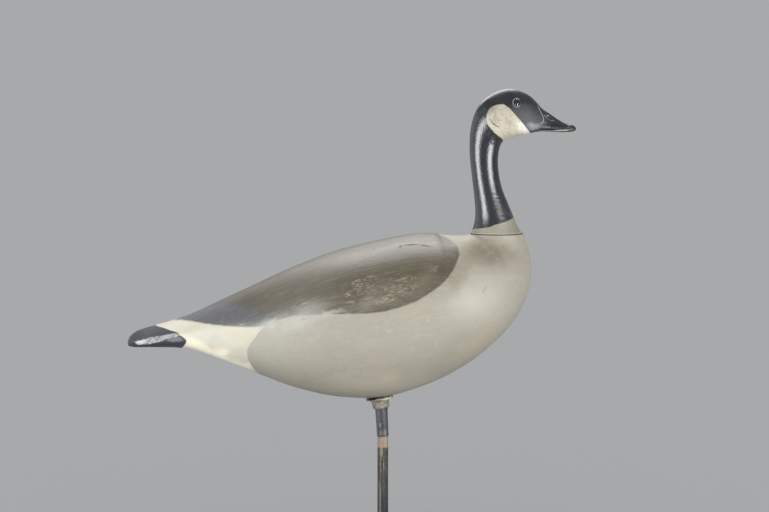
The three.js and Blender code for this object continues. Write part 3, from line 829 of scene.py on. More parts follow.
# %% Marks of age
WHITE_RUB = [(-146, 401, 70, 24, 20), (-192, 392, 34, 14, 12), (-92, 410, 44, 9, 6)]
WHITE_MARKS = [
    (-133, 427, 10, 1.3, 17), (-189, 397, 17, 3.4, 27), (-240, 391, 9, 1.6, 15),
    (-152, 421, 7, 1.2, 30), (10, 379, 5, 3.4, -30), (128, 401, 1.6, 1.6), (76, 398, 3, 5, -60),
    (90, 362, 0.9, 10, 6),
]
DARK_MARKS = [
    (30, 524, 6, 1.2, 28), (48, 527, 17, 1.3, 3), (72, 525.4, 14, 1.2, -12), (-37, 313, 1.5, 1.5),
    (-64, 313, 1.7, 1.2), (173.5, 452, 10.5, 0.6, 66), (171, 446, 3, 0.5, 66), (-15, 520, 2, 1.6),
]
SPECKED = [(-82, 416, 15, 6, 10), (-128, 402, 30, 8, 18)]

wing_edge = painted_to(tree, "wing", grain, 2.0, 1.4)
coat = over(tree, rump, flank, painted_to(tree, "flank", grain, 1.0, 1.0))
coat = over(tree, coat, wing, wing_edge)
coat = over(tree, coat, tail, painted_to(tree, "tail", grain, 0.8, 0.8))

white_rub = blotches(tree, smudged, WHITE_RUB, RIGHT)
cracks = blotches(tree, seen, DARK_MARKS, RIGHT, 0.8)
specked = blotches(tree, seen, SPECKED, RIGHT)
# Painted shadow: the top of the seat is darkened where the neck's foot meets it
at_seat = spot(tree, place, (SEAT_X, 0, SEAT_Z), (60, 45, 30), soft=0.1)
near_top = by_height(tree, place, SEAT_Z - 0.9, SEAT_Z - 0.3)
coat = coats(tree, coat, [
    ("#a6a69f", white_rub, 0.62),
    ("#b9b8b3", strokes(tree, grain, 12, 4, 0.55, 0.95, 5.0, 0.7, more=white_rub, by=0.22), 0.3),
    ("#b4b2aa", blotches(tree, frayed, WHITE_MARKS, RIGHT, 0.9), 0.4),
    ("#4a463e", cracks, 0.8),
    ("#6d6a60", clouds(tree, grain, 2.6, 0.75, 0.8, 3.0, 0.7, more=specked, by=0.24), 0.6),
    ("#25211a", together(tree, [near_top, at_seat], "MULTIPLY"), 0.9),
])
tree.links.new(coat, shader.inputs["Base Color"])
print("nodes after the marks of age:", len(tree.nodes))

# %% [markdown]
# The dark coat of the wing is a little glossier than the others, in streaks that follow the brush,
# and the cracks are dull. The brush marks stand a twentieth of a millimetre high.

# %% The body's gloss and relief
sheen = strokes(tree, grain, 40, 5, 0.2, 0.8)
silky = add(tree, "ShaderNodeMapRange", {0: sheen, 3: 0.36, 4: 0.42}).outputs[0]
roughness = add(tree, "ShaderNodeMix", {0: wing_edge, 2: 0.52, 3: silky}, data_type="FLOAT").outputs[0]
roughness = add(tree, "ShaderNodeMix", {0: cracks, 2: roughness, 3: 0.95}, data_type="FLOAT").outputs[0]
tree.links.new(roughness, shader.inputs["Roughness"])
relief = strokes(tree, grain, 50, 2.5, 0.2, 0.8, 4.0, 0.6)
bump = add(tree, "ShaderNodeBump", {"Height": relief, "Distance": 0.00005, "Strength": 1.0})
tree.links.new(bump.outputs[0], shader.inputs["Normal"])

body.data.materials.append(body_paint)
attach(body, "root")
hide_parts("body")
print("nodes in the body's paint:", len(tree.nodes))

# %% [markdown]
# The head and its neck are a second block. From the oval foot that sits on the body the neck
# narrows and bends over into the head, and the bill is carved as a step lower than the face. The
# ribs turn with it, from flat at the seat to upright at the bill.

# %% Head ribs
HEAD_HEIGHT = 245
HEAD_Z = SEAT_Z + 0.4
HEAD_SHAPE = [
    [(-0.175, 0.0125), (0.166, 0.0105), 0.135],
    [(-0.162, 0.0475), (0.146, 0.0445), 0.1265],
    [(-0.1505, 0.1045), (0.122, 0.1025), 0.112],
    [(-0.15, 0.1835), (0.086, 0.1875), 0.098],
    [(-0.161, 0.2915), (0.042, 0.2935), 0.087],
    [(-0.175, 0.4085), (0.016, 0.399), 0.081],
    [(-0.188, 0.5265), (0.007, 0.5045), 0.08],
    [(-0.19, 0.6345), (0.015, 0.5765), 0.083, 0.48],
    [(-0.183, 0.7205), (0.027, 0.6135), 0.0905, 0.46],
    [(-0.16, 0.8155), (0.04, 0.6345), 0.0995, 0.44, 1, 0.95],
    [(-0.119, 0.8935), (0.0515, 0.6455), 0.108, 0.43, 1, 0.92],
    [(-0.051, 0.9535), (0.069, 0.6535), 0.114, 0.42, 1, 0.9],
    [(0.0295, 0.989), (0.0945, 0.6615), 0.117, 0.42, 1, 0.88],
    [(0.103, 0.997), (0.128, 0.6715), 0.114, 0.41, 1, 0.86],
    [(0.174, 0.976), (0.166, 0.6795), 0.106, 0.4, 1, 0.84],
    [(0.234, 0.9425), (0.208, 0.687), 0.092, 0.38, 1.05, 0.8],
    [(0.2785, 0.8965), (0.247, 0.6965), 0.0775, 0.34, 1.15, 0.78],
    [(0.313, 0.8585), (0.298, 0.704), 0.0645, 0.3, 1.3, 0.75],
    [(0.362, 0.8265), (0.357, 0.7015), 0.0555, 0.28, 1.4, 0.72],
    [(0.419, 0.7875), (0.416, 0.6995), 0.0515, 0.3, 1.3, 0.72],
    [(0.472, 0.7585), (0.471, 0.6995), 0.049, 0.35, 1.15, 0.75],
    [(0.511, 0.751), (0.51, 0.701), 0.0415, 0.4, 1, 0.8],
    [(0.5345, 0.741), (0.534, 0.7075), 0.028, 0.45, 0.9, 0.85],
    [(0.544, 0.7295), (0.544, 0.7165), 0.012, 0.5, 0.9, 0.9],
]


def on_head(place):
    return scaled(place, HEAD_HEIGHT, SEAT_X, HEAD_Z)


neck_foot = rib((SEAT_X - SEAT_HALF_LENGTH, HEAD_Z), (SEAT_X + SEAT_HALF_LENGTH, HEAD_Z), SEAT_HALF_WIDTH)
head_ribs = [neck_foot] + [
    rib(on_head(back), on_head(front), spread * HEAD_HEIGHT, *roundness)
    for back, front, spread, *roundness in HEAD_SHAPE
]
print("ribs in the head:", len(head_ribs))

# %% [markdown]
# The slices lie closer together in the face than in the neck: the face turns faster, and the cuts
# of the bill need the smaller faces.

# %% Carve the head
HEAD_SIDES = 48
NECK_SPACING, FACE_SPACING = 10, 3.2
NECK_RIBS = 8

places = stations(head_ribs, lambda i: NECK_SPACING if i < NECK_RIBS else FACE_SPACING)
head = with_grain("goose_head_and_neck", head_ribs, places, HEAD_SIDES, 0)
subdivide(head, 2)
print("head corners:", len(head.data.vertices))

# %% [markdown]
# The bill is cut 0.8 mm lower than the face along a curved line, the mouth is a narrow groove and
# the nostrils are slanted dips. Each is a vertex move with a soft edge, as a knife and sandpaper
# leave it: the deeper a corner lies in the outline of a cut, the further it goes in.

# %% Cut the bill's step, the mouth and the nostrils
BILL_STEP, STEP_FADES_OVER = 0.8, 6
RIDGE_KEPT = 3
PAST_THE_TIP, OVER_THE_TOP = 200, 100
MOUTH_WIDTH, MOUTH_DEPTH = 1.3, 1.6
NOSTRIL_RADII, NOSTRIL_DEPTH, NOSTRIL_SLOPE = (8, 2.8), 2.0, math.radians(-30)
NOSTRIL = (0.357, 0.8015)
NO_RIM_HIGHLIGHT = 5
MOUTH = [
    (0.222, 0.704), (0.265, 0.713), (0.3, 0.719), (0.361, 0.7205), (0.43, 0.7225), (0.51, 0.7305),
]
BILL_BASE = [
    (0.28, 0.8815), (0.2915, 0.854), (0.3055, 0.8265), (0.316, 0.8025), (0.318, 0.785),
    (0.309, 0.7645), (0.292, 0.758), (0.268, 0.749), (0.268, 0.737),
]


def eased(values, low, high):
    """0 below the low value and 1 above the high one, with an eased step between them."""
    share = np.clip((values - low) / (high - low), 0, 1)
    return share * share * (3 - 2 * share)


base_line = drawn([on_head(place) for place in BILL_BASE])
top, bottom = base_line[0], base_line[-1]
far_x, far_z = top[0] + PAST_THE_TIP, top[1] + OVER_THE_TOP
bill = base_line + [(far_x, bottom[1]), (far_x, far_z), (top[0], far_z)]
mouth_line = drawn([on_head(place) for place in MOUTH])
mouth_strip = [line + (0, side * 0.01) for side in (-1, 1) for line in mouth_line[::side]]

spots, facing = places_of(head), places_of(head, "normal")
side_view = spots[:, [0, 2]]
above_gape = eased(side_view[:, 1], bottom[1], bottom[1] + STEP_FADES_OVER)
step_cut = BILL_STEP * eased(depth_in(bill, side_view), -0.3, 0.6) * above_gape
mouth_cut = MOUTH_DEPTH * eased(-np.abs(depth_in(mouth_strip, side_view)), -MOUTH_WIDTH, -0.1)
across = side_view - on_head(NOSTRIL)
slope = np.array([math.cos(NOSTRIL_SLOPE), math.sin(NOSTRIL_SLOPE)])
lengthwise, upward = across @ slope, across @ (-slope[1], slope[0])
nostril_reach = np.hypot(lengthwise / NOSTRIL_RADII[0], upward / NOSTRIL_RADII[1])
nostril_cut = NOSTRIL_DEPTH * eased(1 - nostril_reach, 0, 0.5)
off_ridge = np.minimum(1, np.abs(spots[:, 1]) / RIDGE_KEPT) * np.sign(spots[:, 1])
spots[:, 1] -= (step_cut + mouth_cut) * off_ridge
spots -= nostril_cut[:, None] * facing
move_to(head, spots)
# A highlight is painted only along a nostril's lower rim, so corners just above it count as further off
over_nostril = (upward > 0) & (nostril_reach > 0.9)
keep(head, "nostril", nostril_reach + np.where(over_nostril, NO_RIM_HIGHLIGHT, 0))
keep(head, "mouth", np.abs(depth_in(mouth_strip, side_view)))
print("corners in the bill:", int((depth_in(bill, side_view) > 0).sum()))

# %% [markdown]
# Each eye is a flattened glass ball in a socket, with a raised rim of filler round it. The rim is
# an oval ring joined to the head, and the surface under the glass goes in to make the socket.

# %% Eye sockets and rims
EYE = (0.1285, 0.9065)
EYE_SIZE = np.array([10.5, 13.5, 8.0])
EYE_STANDS_OUT = 2.2
SOCKET_GAP, SOCKET_DEPTH = 0.3, 4.0
RIM_TUBE, RIM_OUTSIDE, RIM_HEIGHT = 0.16, 0.9, 0.8
FAR_OFF = 99.0


def eye_seat(side):
    """A point on the head's side where the eye goes, and the way the surface faces there."""
    x, z = on_head(EYE)
    spots, facing = places_of(head), places_of(head, "normal")
    close = (np.hypot(spots[:, 0] - x, spots[:, 2] - z) < 5) & (spots[:, 1] * side > 0)
    point = np.array([x, spots[close, 1].mean(), z])
    facing = facing[close].mean(0)
    return Vector(point), Vector(facing).normalized()


seats = {side: eye_seat(side) for side in (-1, 1)}
for side, (point, facing) in seats.items():
    turn = facing.to_track_quat("Z", "Y").to_matrix()
    spots = places_of(head)
    local = (spots - point) @ np.array(turn)
    reach = np.linalg.norm(local[:, :2] / (EYE_SIZE[:2] / 2 + SOCKET_GAP), axis=1)
    sunk = SOCKET_DEPTH * eased(-reach, -1.05, -0.75) * (local[:, 2] > -12)
    move_to(head, spots - np.outer(sunk, facing))
    bpy.ops.object.select_all(action="DESELECT")
    bpy.ops.mesh.primitive_torus_add(
        major_segments=64, minor_segments=12, major_radius=1, minor_radius=RIM_TUBE,
    )
    rim = bpy.context.object
    ring = places_of(rim) * MM
    size = Vector((*(EYE_SIZE[:2] / 2 + RIM_OUTSIDE), RIM_HEIGHT / RIM_TUBE))
    placed = [turn @ Vector(p * np.array(size)) + point for p in ring]
    move_to(rim, np.array([list(p) for p in placed]))
    bpy.ops.object.shade_smooth()
    for name in ("nostril", "mouth"):
        keep(rim, name, np.full(len(ring), FAR_OFF))
    head.select_set(True)
    bpy.context.view_layer.objects.active = head
    bpy.ops.object.join()
carved = len(nostril_reach)
keep(head, "rim", np.arange(len(head.data.vertices)) >= carved)
print("head corners with rims:", len(head.data.vertices))

# %% [markdown]
# Two more templates are for the head: the line round the neck where the black begins, and the
# cheek patch. The step of the bill is kept as well, because the paint is worn along it.

# %% Templates for the head's paint
NECK_LINE = [
    (130, 549), (152, 553), (166, 555), (180, 557), (190, 561), (205, 565), (216, 570), (221, 573),
]
CHEEK = [
    (197, 765), (189, 763), (179, 756), (175, 745), (176, 734), (181, 725.5), (190, 716),
    (197, 710.5), (203, 705.5), (206, 702), (226, 703), (240, 708), (248, 714.5), (249, 717.5),
    (245, 722), (241.5, 726), (237, 732), (224, 747), (214, 758), (204, 765),
]
HEAD_AREAS = {
    "black": drawn(NECK_LINE) + [(600, 700), (600, 1000), (-200, 1000), (-200, 549)],
    "cheek": drawn(CHEEK),
}
seen = keep_seen(head)
for name, outline in HEAD_AREAS.items():
    keep(head, name, depth_in(outline, seen))
keep(head, "bill_base", depth_in(bill, places_of(head)[:, [0, 2]]))
print("corners in the cheeks:", int((depth_in(HEAD_AREAS["cheek"], seen) > 0).sum()))

# %% [markdown]
# The head and neck are painted in a harder, glossier black than the body's paint. It shows the
# softboxes as long highlights down the neck. It is duller before the eye, with a soft grey sheen
# painted into its colour there. A pale line along the bill's step is a painted highlight on the step's
# edge, over wear, and the paint is worn to bare wood under the tip of the bill.

# %% Gloss black
head_paint, tree, shader = finish_of("gloss_enamel_head", "#17181b", 0.2, IOR=1.75)
place = add(tree, "ShaderNodeTexCoord").outputs["Object"]
grain = add(tree, "ShaderNodeAttribute", attribute_name="grain").outputs["Vector"]
seen = add(tree, "ShaderNodeAttribute", attribute_name="seen").outputs["Vector"]
frayed = ragged(tree, seen, 4, 0.7)
smudged = ragged(tree, seen, 15, 4)


def band(tree, name, low, high, soft):
    """1 where a distance kept on the mesh is between two values in mm, with soft ends."""
    depth = add(tree, "ShaderNodeAttribute", attribute_name=name).outputs["Fac"]
    rise = add(tree, "ShaderNodeMapRange", {0: depth, 1: low - soft, 2: low + soft}).outputs[0]
    fall = add(tree, "ShaderNodeMapRange", {0: depth, 1: high + soft, 2: high - soft}).outputs[0]
    return together(tree, [rise, fall], "MULTIPLY")


black = over(tree, colour("#111215"), colour("#1b1e23"), clouds(tree, place, 25))
black = over(tree, black, colour("#2a2c30"), strokes(tree, grain, 30, 2.5, 0.55, 0.85), 0.4)
# Painted sheen: a soft grey sheen before the eye, over the lores
black = tinted(tree, smudged, black, [
    ("#26282c", 0.8, 241, 742, 24, 26),
    ("#85868a", 0.85, 254, 727.5, 17, 10.5, -8),
])
hazy = together(tree, [
    blotches(tree, smudged, [(172, 738, 18, 52, 15), (214, 584, 16, 24)]),
    clouds(tree, place, 5, 0.42, 0.66, 5.0, 0.7),
], "MULTIPLY")
# A pale line along the bill's step: painted highlight on its edge, broken by wear
step_highlight_and_wear = together(tree, [
    band(tree, "bill_base", -0.9, 0.3, 0.3),
    blotch(tree, seen, 272, 748, 26, 20, soft=0.4),
    clouds(tree, place, 6, 0.2, 0.35),
], "MULTIPLY")
filler = add(tree, "ShaderNodeAttribute", attribute_name="rim").outputs["Fac"]
worn_ring = together(tree, [filler, clouds(tree, place, 4, 0.3, 0.5)], "MULTIPLY")

BARE_WOOD = [(301, 720.9, 17, 1.5, 2)]
BARE_WOOD_EDGE = [(279, 720.2, 20, 1.3)]
# The first bill mark is a painted highlight running on from a nostril's lower rim; the second is a pale
# mark
BILL_HIGHLIGHT_AND_MARKS = [(295, 734.5, 9, 0.7, -27), (283, 752, 7, 0.6, -38)]
black = coats(tree, black, [
    ("#4a4c50", clouds(tree, place, 3, 0.6, 0.7, 4.0, 0.65), 0.6),
    ("#4d5157", hazy, 0.7),
    ("#a2a5a6", step_highlight_and_wear, 0.8),
    ("#2c2d30", band(tree, "nostril", -1, 0.8, 0.15), 0.7),
    # Painted highlight along each nostril's lower rim
    ("#77797b", band(tree, "nostril", 0.9, 1.35, 0.15), 0.7),
    ("#85868a", blotches(tree, frayed, BARE_WOOD_EDGE, soft=0.6), 0.6),
    ("#a9a89f", blotches(tree, frayed, BARE_WOOD, soft=0.5), 0.8),
    ("#6c6e71", blotches(tree, frayed, BILL_HIGHLIGHT_AND_MARKS), 0.6),
    ("#7e807d", worn_ring, 0.85),
    ("#141518", blotch(tree, seen, 232.5, 768.5, 4.5, 6.5, soft=0.6), 0.9),
])
print("nodes after the black:", len(tree.nodes))

# %% [markdown]
# The cheek patch is old cream, dirty in the grain, darker and greyer towards its top, rubbed grey at
# its back edge, and whiter at its tip. The neck's foot has the body's putty, with a painted shadow
# line at the joint under it.

# %% Cheek and foot of the neck
CHEEK_CRACK = [(188, 731.2, 7, 1.6, -32), (194, 727.6, 4, 1.3, -20), (184, 736, 5, 0.8, -50)]
CHEEK_RUB = [(185, 728.5, 5, 1.2, -30)]

cheek = over(tree, colour("#aaa48f"), colour("#b3ad9b"), clouds(tree, place, 18))
cheek = tinted(tree, smudged, cheek, [
    # The patch is darker and greyer towards its top
    ("#86826f", 0.9, 183, 756, 18, 12, 20),
    ("#a48f79", 0.7, 213, 734, 10, 9),
    ("#9c9682", 0.6, 190, 738, 12, 16),
    ("#e4e2d6", 1.0, 238, 724, 24, 14, -46),
    ("#c0b895", 0.7, 215, 717, 18, 7, 8),
    ("#b5b6a8", 0.8, 178, 735, 5, 18),
])
cheek = coats(tree, cheek, [
    ("#958370", clouds(tree, place, 9, 0.5, 0.68, 4.0, 0.6), 0.6),
    ("#78756a", clouds(tree, place, 6, 0.53, 0.68, 5.0, 0.65), 0.65),
    ("#cfcbb8", clouds(tree, seen, 4, 0.55, 0.7, 4.0, 0.65), 0.6),
    ("#343a30", blotches(tree, seen, CHEEK_CRACK, RIGHT, 0.6), 0.9),
    ("#cdd0bf", blotches(tree, frayed, CHEEK_RUB, RIGHT), 0.7),
])

neck_base = over(tree, colour("#7d7b6d"), colour("#858071"), clouds(tree, place, 25))
neck_base = coats(tree, neck_base, [
    ("#917d61", clouds(tree, place, 8, 0.55, 0.75), 0.35),
    ("#9a9785", strokes(tree, grain, 12, 3, 0.5, 0.8), 0.4),
    ("#87897b", blotch(tree, smudged, 160, 552, 24, 10), 0.6),
    ("#aca691", by_height(tree, place, HEAD_Z + 2.6, HEAD_Z + 1.8), 0.6),
    # Painted shadow along the joint, at the bottom of the neck's foot
    ("#25211a", by_height(tree, place, HEAD_Z + 1.1, HEAD_Z + 0.5), 0.9),
])

black_edge = painted_to(tree, "black", place, 0.6, 0.7)
cheek_edge = painted_to(tree, "cheek", place, 0.8, 1.3, 6.0)
coat = over(tree, neck_base, black, black_edge)
coat = over(tree, coat, cheek, cheek_edge)
coat = over(tree, coat, colour("#08080a"), band(tree, "mouth", -0.6, 1.0, 0.3), 0.9)
tree.links.new(coat, shader.inputs["Base Color"])
print("nodes after the cheek:", len(tree.nodes))

# %% [markdown]
# The enamel is glossiest on the neck. It is duller before the eye, a little duller on the crown
# and at the throat, and flat where it is worn off. Low on the neck it has wrinkled as it dried.

# %% The head's gloss and relief
dull_face = blotch(tree, smudged, 240, 738, 48, 40, soft=0.5)
gloss = add(tree, "ShaderNodeMapRange", {0: dull_face, 3: 0.2, 4: 0.62}).outputs[0]
worn_crown = blotch(tree, smudged, 205, 792, 55, 26, soft=0.5)
worn_throat = blotch(tree, smudged, 205, 592, 22, 44, soft=0.7)
for worn, more in ((worn_crown, 0.12), (worn_throat, 0.14)):
    gloss = add(tree, "ShaderNodeMath", {0: worn, 1: more, 2: gloss}, operation="MULTIPLY_ADD").outputs[0]
tip_wear = blotch(tree, seen, 305, 722, 26, 5, soft=0.5)
duller = together(tree, [filler, tip_wear], "MAXIMUM")
gloss = add(tree, "ShaderNodeMix", {0: duller, 2: gloss, 3: 0.5}, data_type="FLOAT").outputs[0]
gloss = add(tree, "ShaderNodeMix", {0: cheek_edge, 2: gloss, 3: 0.5}, data_type="FLOAT").outputs[0]
gloss = add(tree, "ShaderNodeMix", {0: black_edge, 2: 0.5, 3: gloss}, data_type="FLOAT").outputs[0]
tree.links.new(gloss, shader.inputs["Roughness"])

relief = strokes(tree, grain, 30, 2.0, 0.2, 0.8, 4.0, 0.6)
grainy = clouds(tree, place, 4, 0.3, 0.7, 4.0, 0.65)
wrinkled = add(tree, "ShaderNodeMapping", {"Vector": frayed, "Scale": (0.12, 0.12, 1.0)}).outputs[0]
wrinkles = clouds(tree, wrinkled, 2.6, 0.35, 0.65, 2.0, 0.5)
wrinkled_zone = blotch(tree, seen, 197, 593, 24, 42, soft=0.8)
wrinkles = together(tree, [wrinkles, wrinkled_zone], "MULTIPLY")
relief = add(tree, "ShaderNodeMath", {0: grainy, 1: 1.4, 2: relief}, operation="MULTIPLY_ADD")
relief = add(tree, "ShaderNodeMath", {0: wrinkles, 1: 3.0, 2: relief.outputs[0]}, operation="MULTIPLY_ADD")
bump = add(tree, "ShaderNodeBump", {"Height": relief.outputs[0], "Distance": 0.00006, "Strength": 1.0})
tree.links.new(bump.outputs[0], shader.inputs["Normal"])

head.data.materials.clear()
head.data.materials.append(head_paint)
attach(head, "root")
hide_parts("head_and_neck")
kept_from_above.objects.link(head)
leave_out(kept_from_above)
lit_from_behind.objects.link(head)
print("nodes in the head's paint:", len(tree.nodes))

# %% [markdown]
# A decoy's glass eye is clear glass, painted on its back: a brown iris with a black pupil. The
# dome is clear glass here too, and the painted back is a separate dish sealed inside it.

# %% Glass eyes
DISH_SIDES, DISH_WIDTH, DISH_DEPTH = 48, 0.96, 1.6
DISH_RINGS = [(0.86, 0.9), (0.9, 0.6), (0.9, 0.35), (0.6, 0.55), (0.25, 0.7)]
angle = np.arange(DISH_SIDES) * 2 * np.pi / DISH_SIDES
round_dish = np.stack([np.cos(angle), np.sin(angle), np.zeros(DISH_SIDES)], 1)

glass = finish_of("clear_eye_glass", "#ffffff", 0.02, IOR=1.8, Transmission_Weight=1.0)[0]
back_paint, tree, shader = finish_of("painted_eye_back", "#20140b", 0.8)
reach = add(tree, "ShaderNodeAttribute", attribute_name="reach").outputs["Fac"]
place = add(tree, "ShaderNodeTexCoord").outputs["Object"]
iris = over(tree, colour("#120b06"), colour("#22150c"), clouds(tree, place, 0.8))
pupil = add(tree, "ShaderNodeMapRange", {0: reach, 1: 0.62, 2: 0.56}, interpolation_type="SMOOTHSTEP")
tree.links.new(over(tree, iris, colour("#050505"), pupil.outputs[0]), shader.inputs["Base Color"])

for side, name in ((-1, "right_eye"), (1, "left_eye")):
    point, facing = seats[side]
    turn = facing.to_track_quat("Z", "Y").to_matrix()
    centre = point + facing * (EYE_STANDS_OUT - EYE_SIZE[2] / 2)
    bpy.ops.object.select_all(action="DESELECT")
    bpy.ops.mesh.primitive_uv_sphere_add(segments=48, ring_count=24, radius=1)
    dome = bpy.context.object
    dome.name = dome.data.name = name + "_glass"
    ball = places_of(dome) * MM
    move_to(dome, np.array([list(turn @ Vector(p * EYE_SIZE / 2) + centre) for p in ball]))
    bpy.ops.object.shade_smooth()
    dome.data.materials.append(glass)
    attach(dome, "root")
    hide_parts(name)

    rings = []
    for share, depth in DISH_RINGS:
        flat = round_dish * share * EYE_SIZE / 2 * DISH_WIDTH
        rings.append([list(turn @ Vector(p) + centre + facing * (depth * DISH_DEPTH)) for p in flat])
    back = extrude_along(name + "_back", rings)
    spots = np.array([list(turn.transposed() @ (Vector(p) - centre)) for p in places_of(back)])
    keep(back, "reach", np.linalg.norm(spots[:, :2] / (EYE_SIZE[:2] / 2), axis=1))
    bpy.ops.object.select_all(action="DESELECT")
    back.select_set(True)
    bpy.ops.object.shade_smooth()
    back.data.materials.append(back_paint)
    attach(back, "root")
    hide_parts(name)
print("eyes at, mm:", [[round(c, 1) for c in seats[side][0]] for side in seats])

# %% [markdown]
# Under the belly a small cast flange is fixed to the wood. The plate on top spreads the load, and
# its neck holds the sleeve. It is sand cast, so its skin is pitted and no edge of it is true. Each
# round piece is a row of rings up a line that may lean, extruded from one ring to the next.

# %% Iron flange
TURNED_SIDES = 64


def circle(middle, radius, tilt=0.0, sides=TURNED_SIDES):
    """A ring of points about a place, tilted so that its front is the higher side."""
    angle = np.arange(sides) * 2 * np.pi / sides
    x, y = radius * np.cos(angle), radius * np.sin(angle)
    return np.stack([middle[0] + x * math.cos(tilt), middle[1] + y, middle[2] + x * math.sin(tilt)], 1)


def turned(name, profile, start, lean=0.0, angle=35):
    """A round piece from a profile of heights and radii up a leaning line."""
    rings = [circle(start + up_the(height, lean), radius, lean) for height, radius in profile]
    piece = extrude_along(name, rings)
    bpy.ops.object.select_all(action="DESELECT")
    piece.select_set(True)
    bpy.context.view_layer.objects.active = piece
    bpy.ops.object.shade_smooth_by_angle(angle=math.radians(angle))
    return piece


flange_profile = [
    (9.3, 10.4), (0.3, 10.6), (0, 10.9), (0, 13.7), (0.6, 14.5), (1.6, 14.7), (2.6, 14.2), (5, 14.3),
    (8, 14.6), (11, 15.0), (12.2, 15.5), (13.6, 16.3), (14.7, 17.9), (15, 19.4), (15, 22.8),
    (15.5, 23.4), (16.2, 23.5), (17, 23.5), (17.8, 23.5), (18.5, 23.4), (19, 22.9),
]
flange = turned("iron_flange", flange_profile, flange_base, TILT, 50)
swells(flange, 9, 0.7, 3)
swells(flange, 3.5, 0.35, 5)
print("flange corners:", len(flange.data.vertices))

# %% [markdown]
# Bare iron rusts brown, but this casting was painted with the goose more than once. Cream and
# putty sit in its pits and on its front edge, and brown rust shows between them. A painted shadow
# darkens the plate in the gap under the belly at the back.

# %% Rusted cast iron
cast_iron, tree, shader = finish_of("rusted_cast_iron", "#77736a", 0.65, Metallic=0.2)
place = add(tree, "ShaderNodeTexCoord").outputs["Object"]
rough_place = ragged(tree, place, 4, 1.0)
rust = over(tree, colour("#605e57"), colour("#857b70"), clouds(tree, rough_place, 7, 0.42, 0.58))
TOP_Z, TOP_X = float(plate_middle[2]), float(plate_middle[0])
PLATE_SLOPE = -9
pinkish = spot(tree, rough_place, (0, -14, 204 + FLANGE_AT), (7, 6, 5), soft=0.7)
cream_edge = spot(tree, rough_place, (TOP_X + 13, -17, TOP_Z - 1.5), (16, 12, 3.4), PLATE_SLOPE, 0.6)
# Painted shadow in the gap between the plate and the belly, at the back
gap_shadow = spot(tree, rough_place, (TOP_X - 12, -16, TOP_Z - 2.6), (11, 14, 1.9), PLATE_SLOPE, 0.4)
pale_lip = spot(tree, rough_place, (TOP_X - 16, -14, TOP_Z - 6.5), (9, 12, 2.2), PLATE_SLOPE, 0.6)
rust = coats(tree, rust, [
    ("#84705c", clouds(tree, rough_place, 5, 0.58, 0.66), 0.5),
    ("#a9a79b", clouds(tree, rough_place, 4, 0.5, 0.6, 4.0, 0.6), 0.85),
    ("#26241f", clouds(tree, rough_place, 4, 0.59, 0.66, 4.0, 0.6), 0.8),
    ("#93837a", pinkish, 0.7),
    ("#c9c4b2", cream_edge, 0.95),
    ("#0d0d0c", gap_shadow, 1.0),
    ("#a3a197", pale_lip, 0.9),
])
tree.links.new(rust, shader.inputs["Base Color"])
pits = clouds(tree, place, 2.5, 0.3, 0.7)
bump = add(tree, "ShaderNodeBump", {"Height": pits, "Distance": 0.0005, "Strength": 1.0})
tree.links.new(bump.outputs[0], shader.inputs["Normal"])
flange.data.materials.append(cast_iron)
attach(flange, "root")
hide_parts("belly_flange")
print("plate's top, mm:", round(TOP_X, 1), round(TOP_Z, 1))

# %% [markdown]
# The sleeve is a length of iron tube, a little wider at its top, with a rolled collar where it
# enters the flange.

# %% Iron sleeve
shoulder = np.array([0.0, 0.0, SHOULDER_Z])
sleeve_profile = [
    (0.5, 7.5), (0.3, 7.8), (0.3, 9.3), (0.7, 9.8), (4, 9.9), (10, 9.95), (20, 10.1), (30, 10.25),
    (40, 10.45), (46.0, 10.5), (46.6, 11.1), (47.6, 11.3), (48.6, 11.1), (49.1, 10.4), (58, 10.2),
    (58.3, 10), (58.3, 7.5),
]
sleeve = turned("iron_sleeve", sleeve_profile, shoulder, LEAN)
swells(sleeve, 14, 0.2, 11)
print("sleeve corners:", len(sleeve.data.vertices))

# %% [markdown]
# Dark paint and handling have given the tube a blue-grey colour with lengthwise wipes, and its
# lower end is scuffed to the bare metal and the stick's brown.

# %% Blue-grey iron
sleeve_iron, tree, shader = finish_of("blued_iron_tube", "#45484d", 0.45, Metallic=0.3)
place = add(tree, "ShaderNodeTexCoord").outputs["Object"]
settings = {"Vector": place, "Scale": (1.0, 1.0, 0.1)}
lengthwise = add(tree, "ShaderNodeMapping", settings).outputs[0]
steel = over(tree, colour("#3c3e42"), colour("#535559"), clouds(tree, lengthwise, 6, 0.4, 0.6))
steel = over(tree, steel, colour("#2b2d31"), clouds(tree, lengthwise, 4, 0.55, 0.68), 0.7)
SLEEVE_MARKS = [
    ("#7f8180", 0.6, -4.5, 219, 2.2, 6),
    ("#33332d", 0.7, 1.5, 218, 5, 6),
    ("#77695d", 0.55, -3.5, 205, 5, 5),
    ("#74726b", 0.55, 4, 206, 5, 6),
    ("#353430", 0.9, -7.5, 214, 1.6, 5),
    ("#6a6c70", 0.6, -7.5, 240, 1.2, 8),
]
frayed = ragged(tree, place, 3, 0.8)
for code, share, x, z, half_width, half_height in SLEEVE_MARKS:
    worn = spot(tree, frayed, (x, -10, z), (half_width, 8, half_height), soft=0.6)
    steel = over(tree, steel, colour(code), worn, share)
steel = over(tree, steel, colour("#8b8c8a"), clouds(tree, place, 4, 0.6, 0.7, 4.0, 0.6), 0.4)
tree.links.new(steel, shader.inputs["Base Color"])
dents = clouds(tree, place, 5, 0.3, 0.7)
bump = add(tree, "ShaderNodeBump", {"Height": dents, "Distance": 0.0002, "Strength": 1.0})
tree.links.new(bump.outputs[0], shader.inputs["Normal"])
sleeve.data.materials.append(sleeve_iron)
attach(sleeve, "root")
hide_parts("socket_sleeve")
print("nodes in the sleeve's paint:", len(tree.nodes))

# %% [markdown]
# The stick is a round hardwood rod, about 18 mm thick, with a tenon that leans into the sleeve.

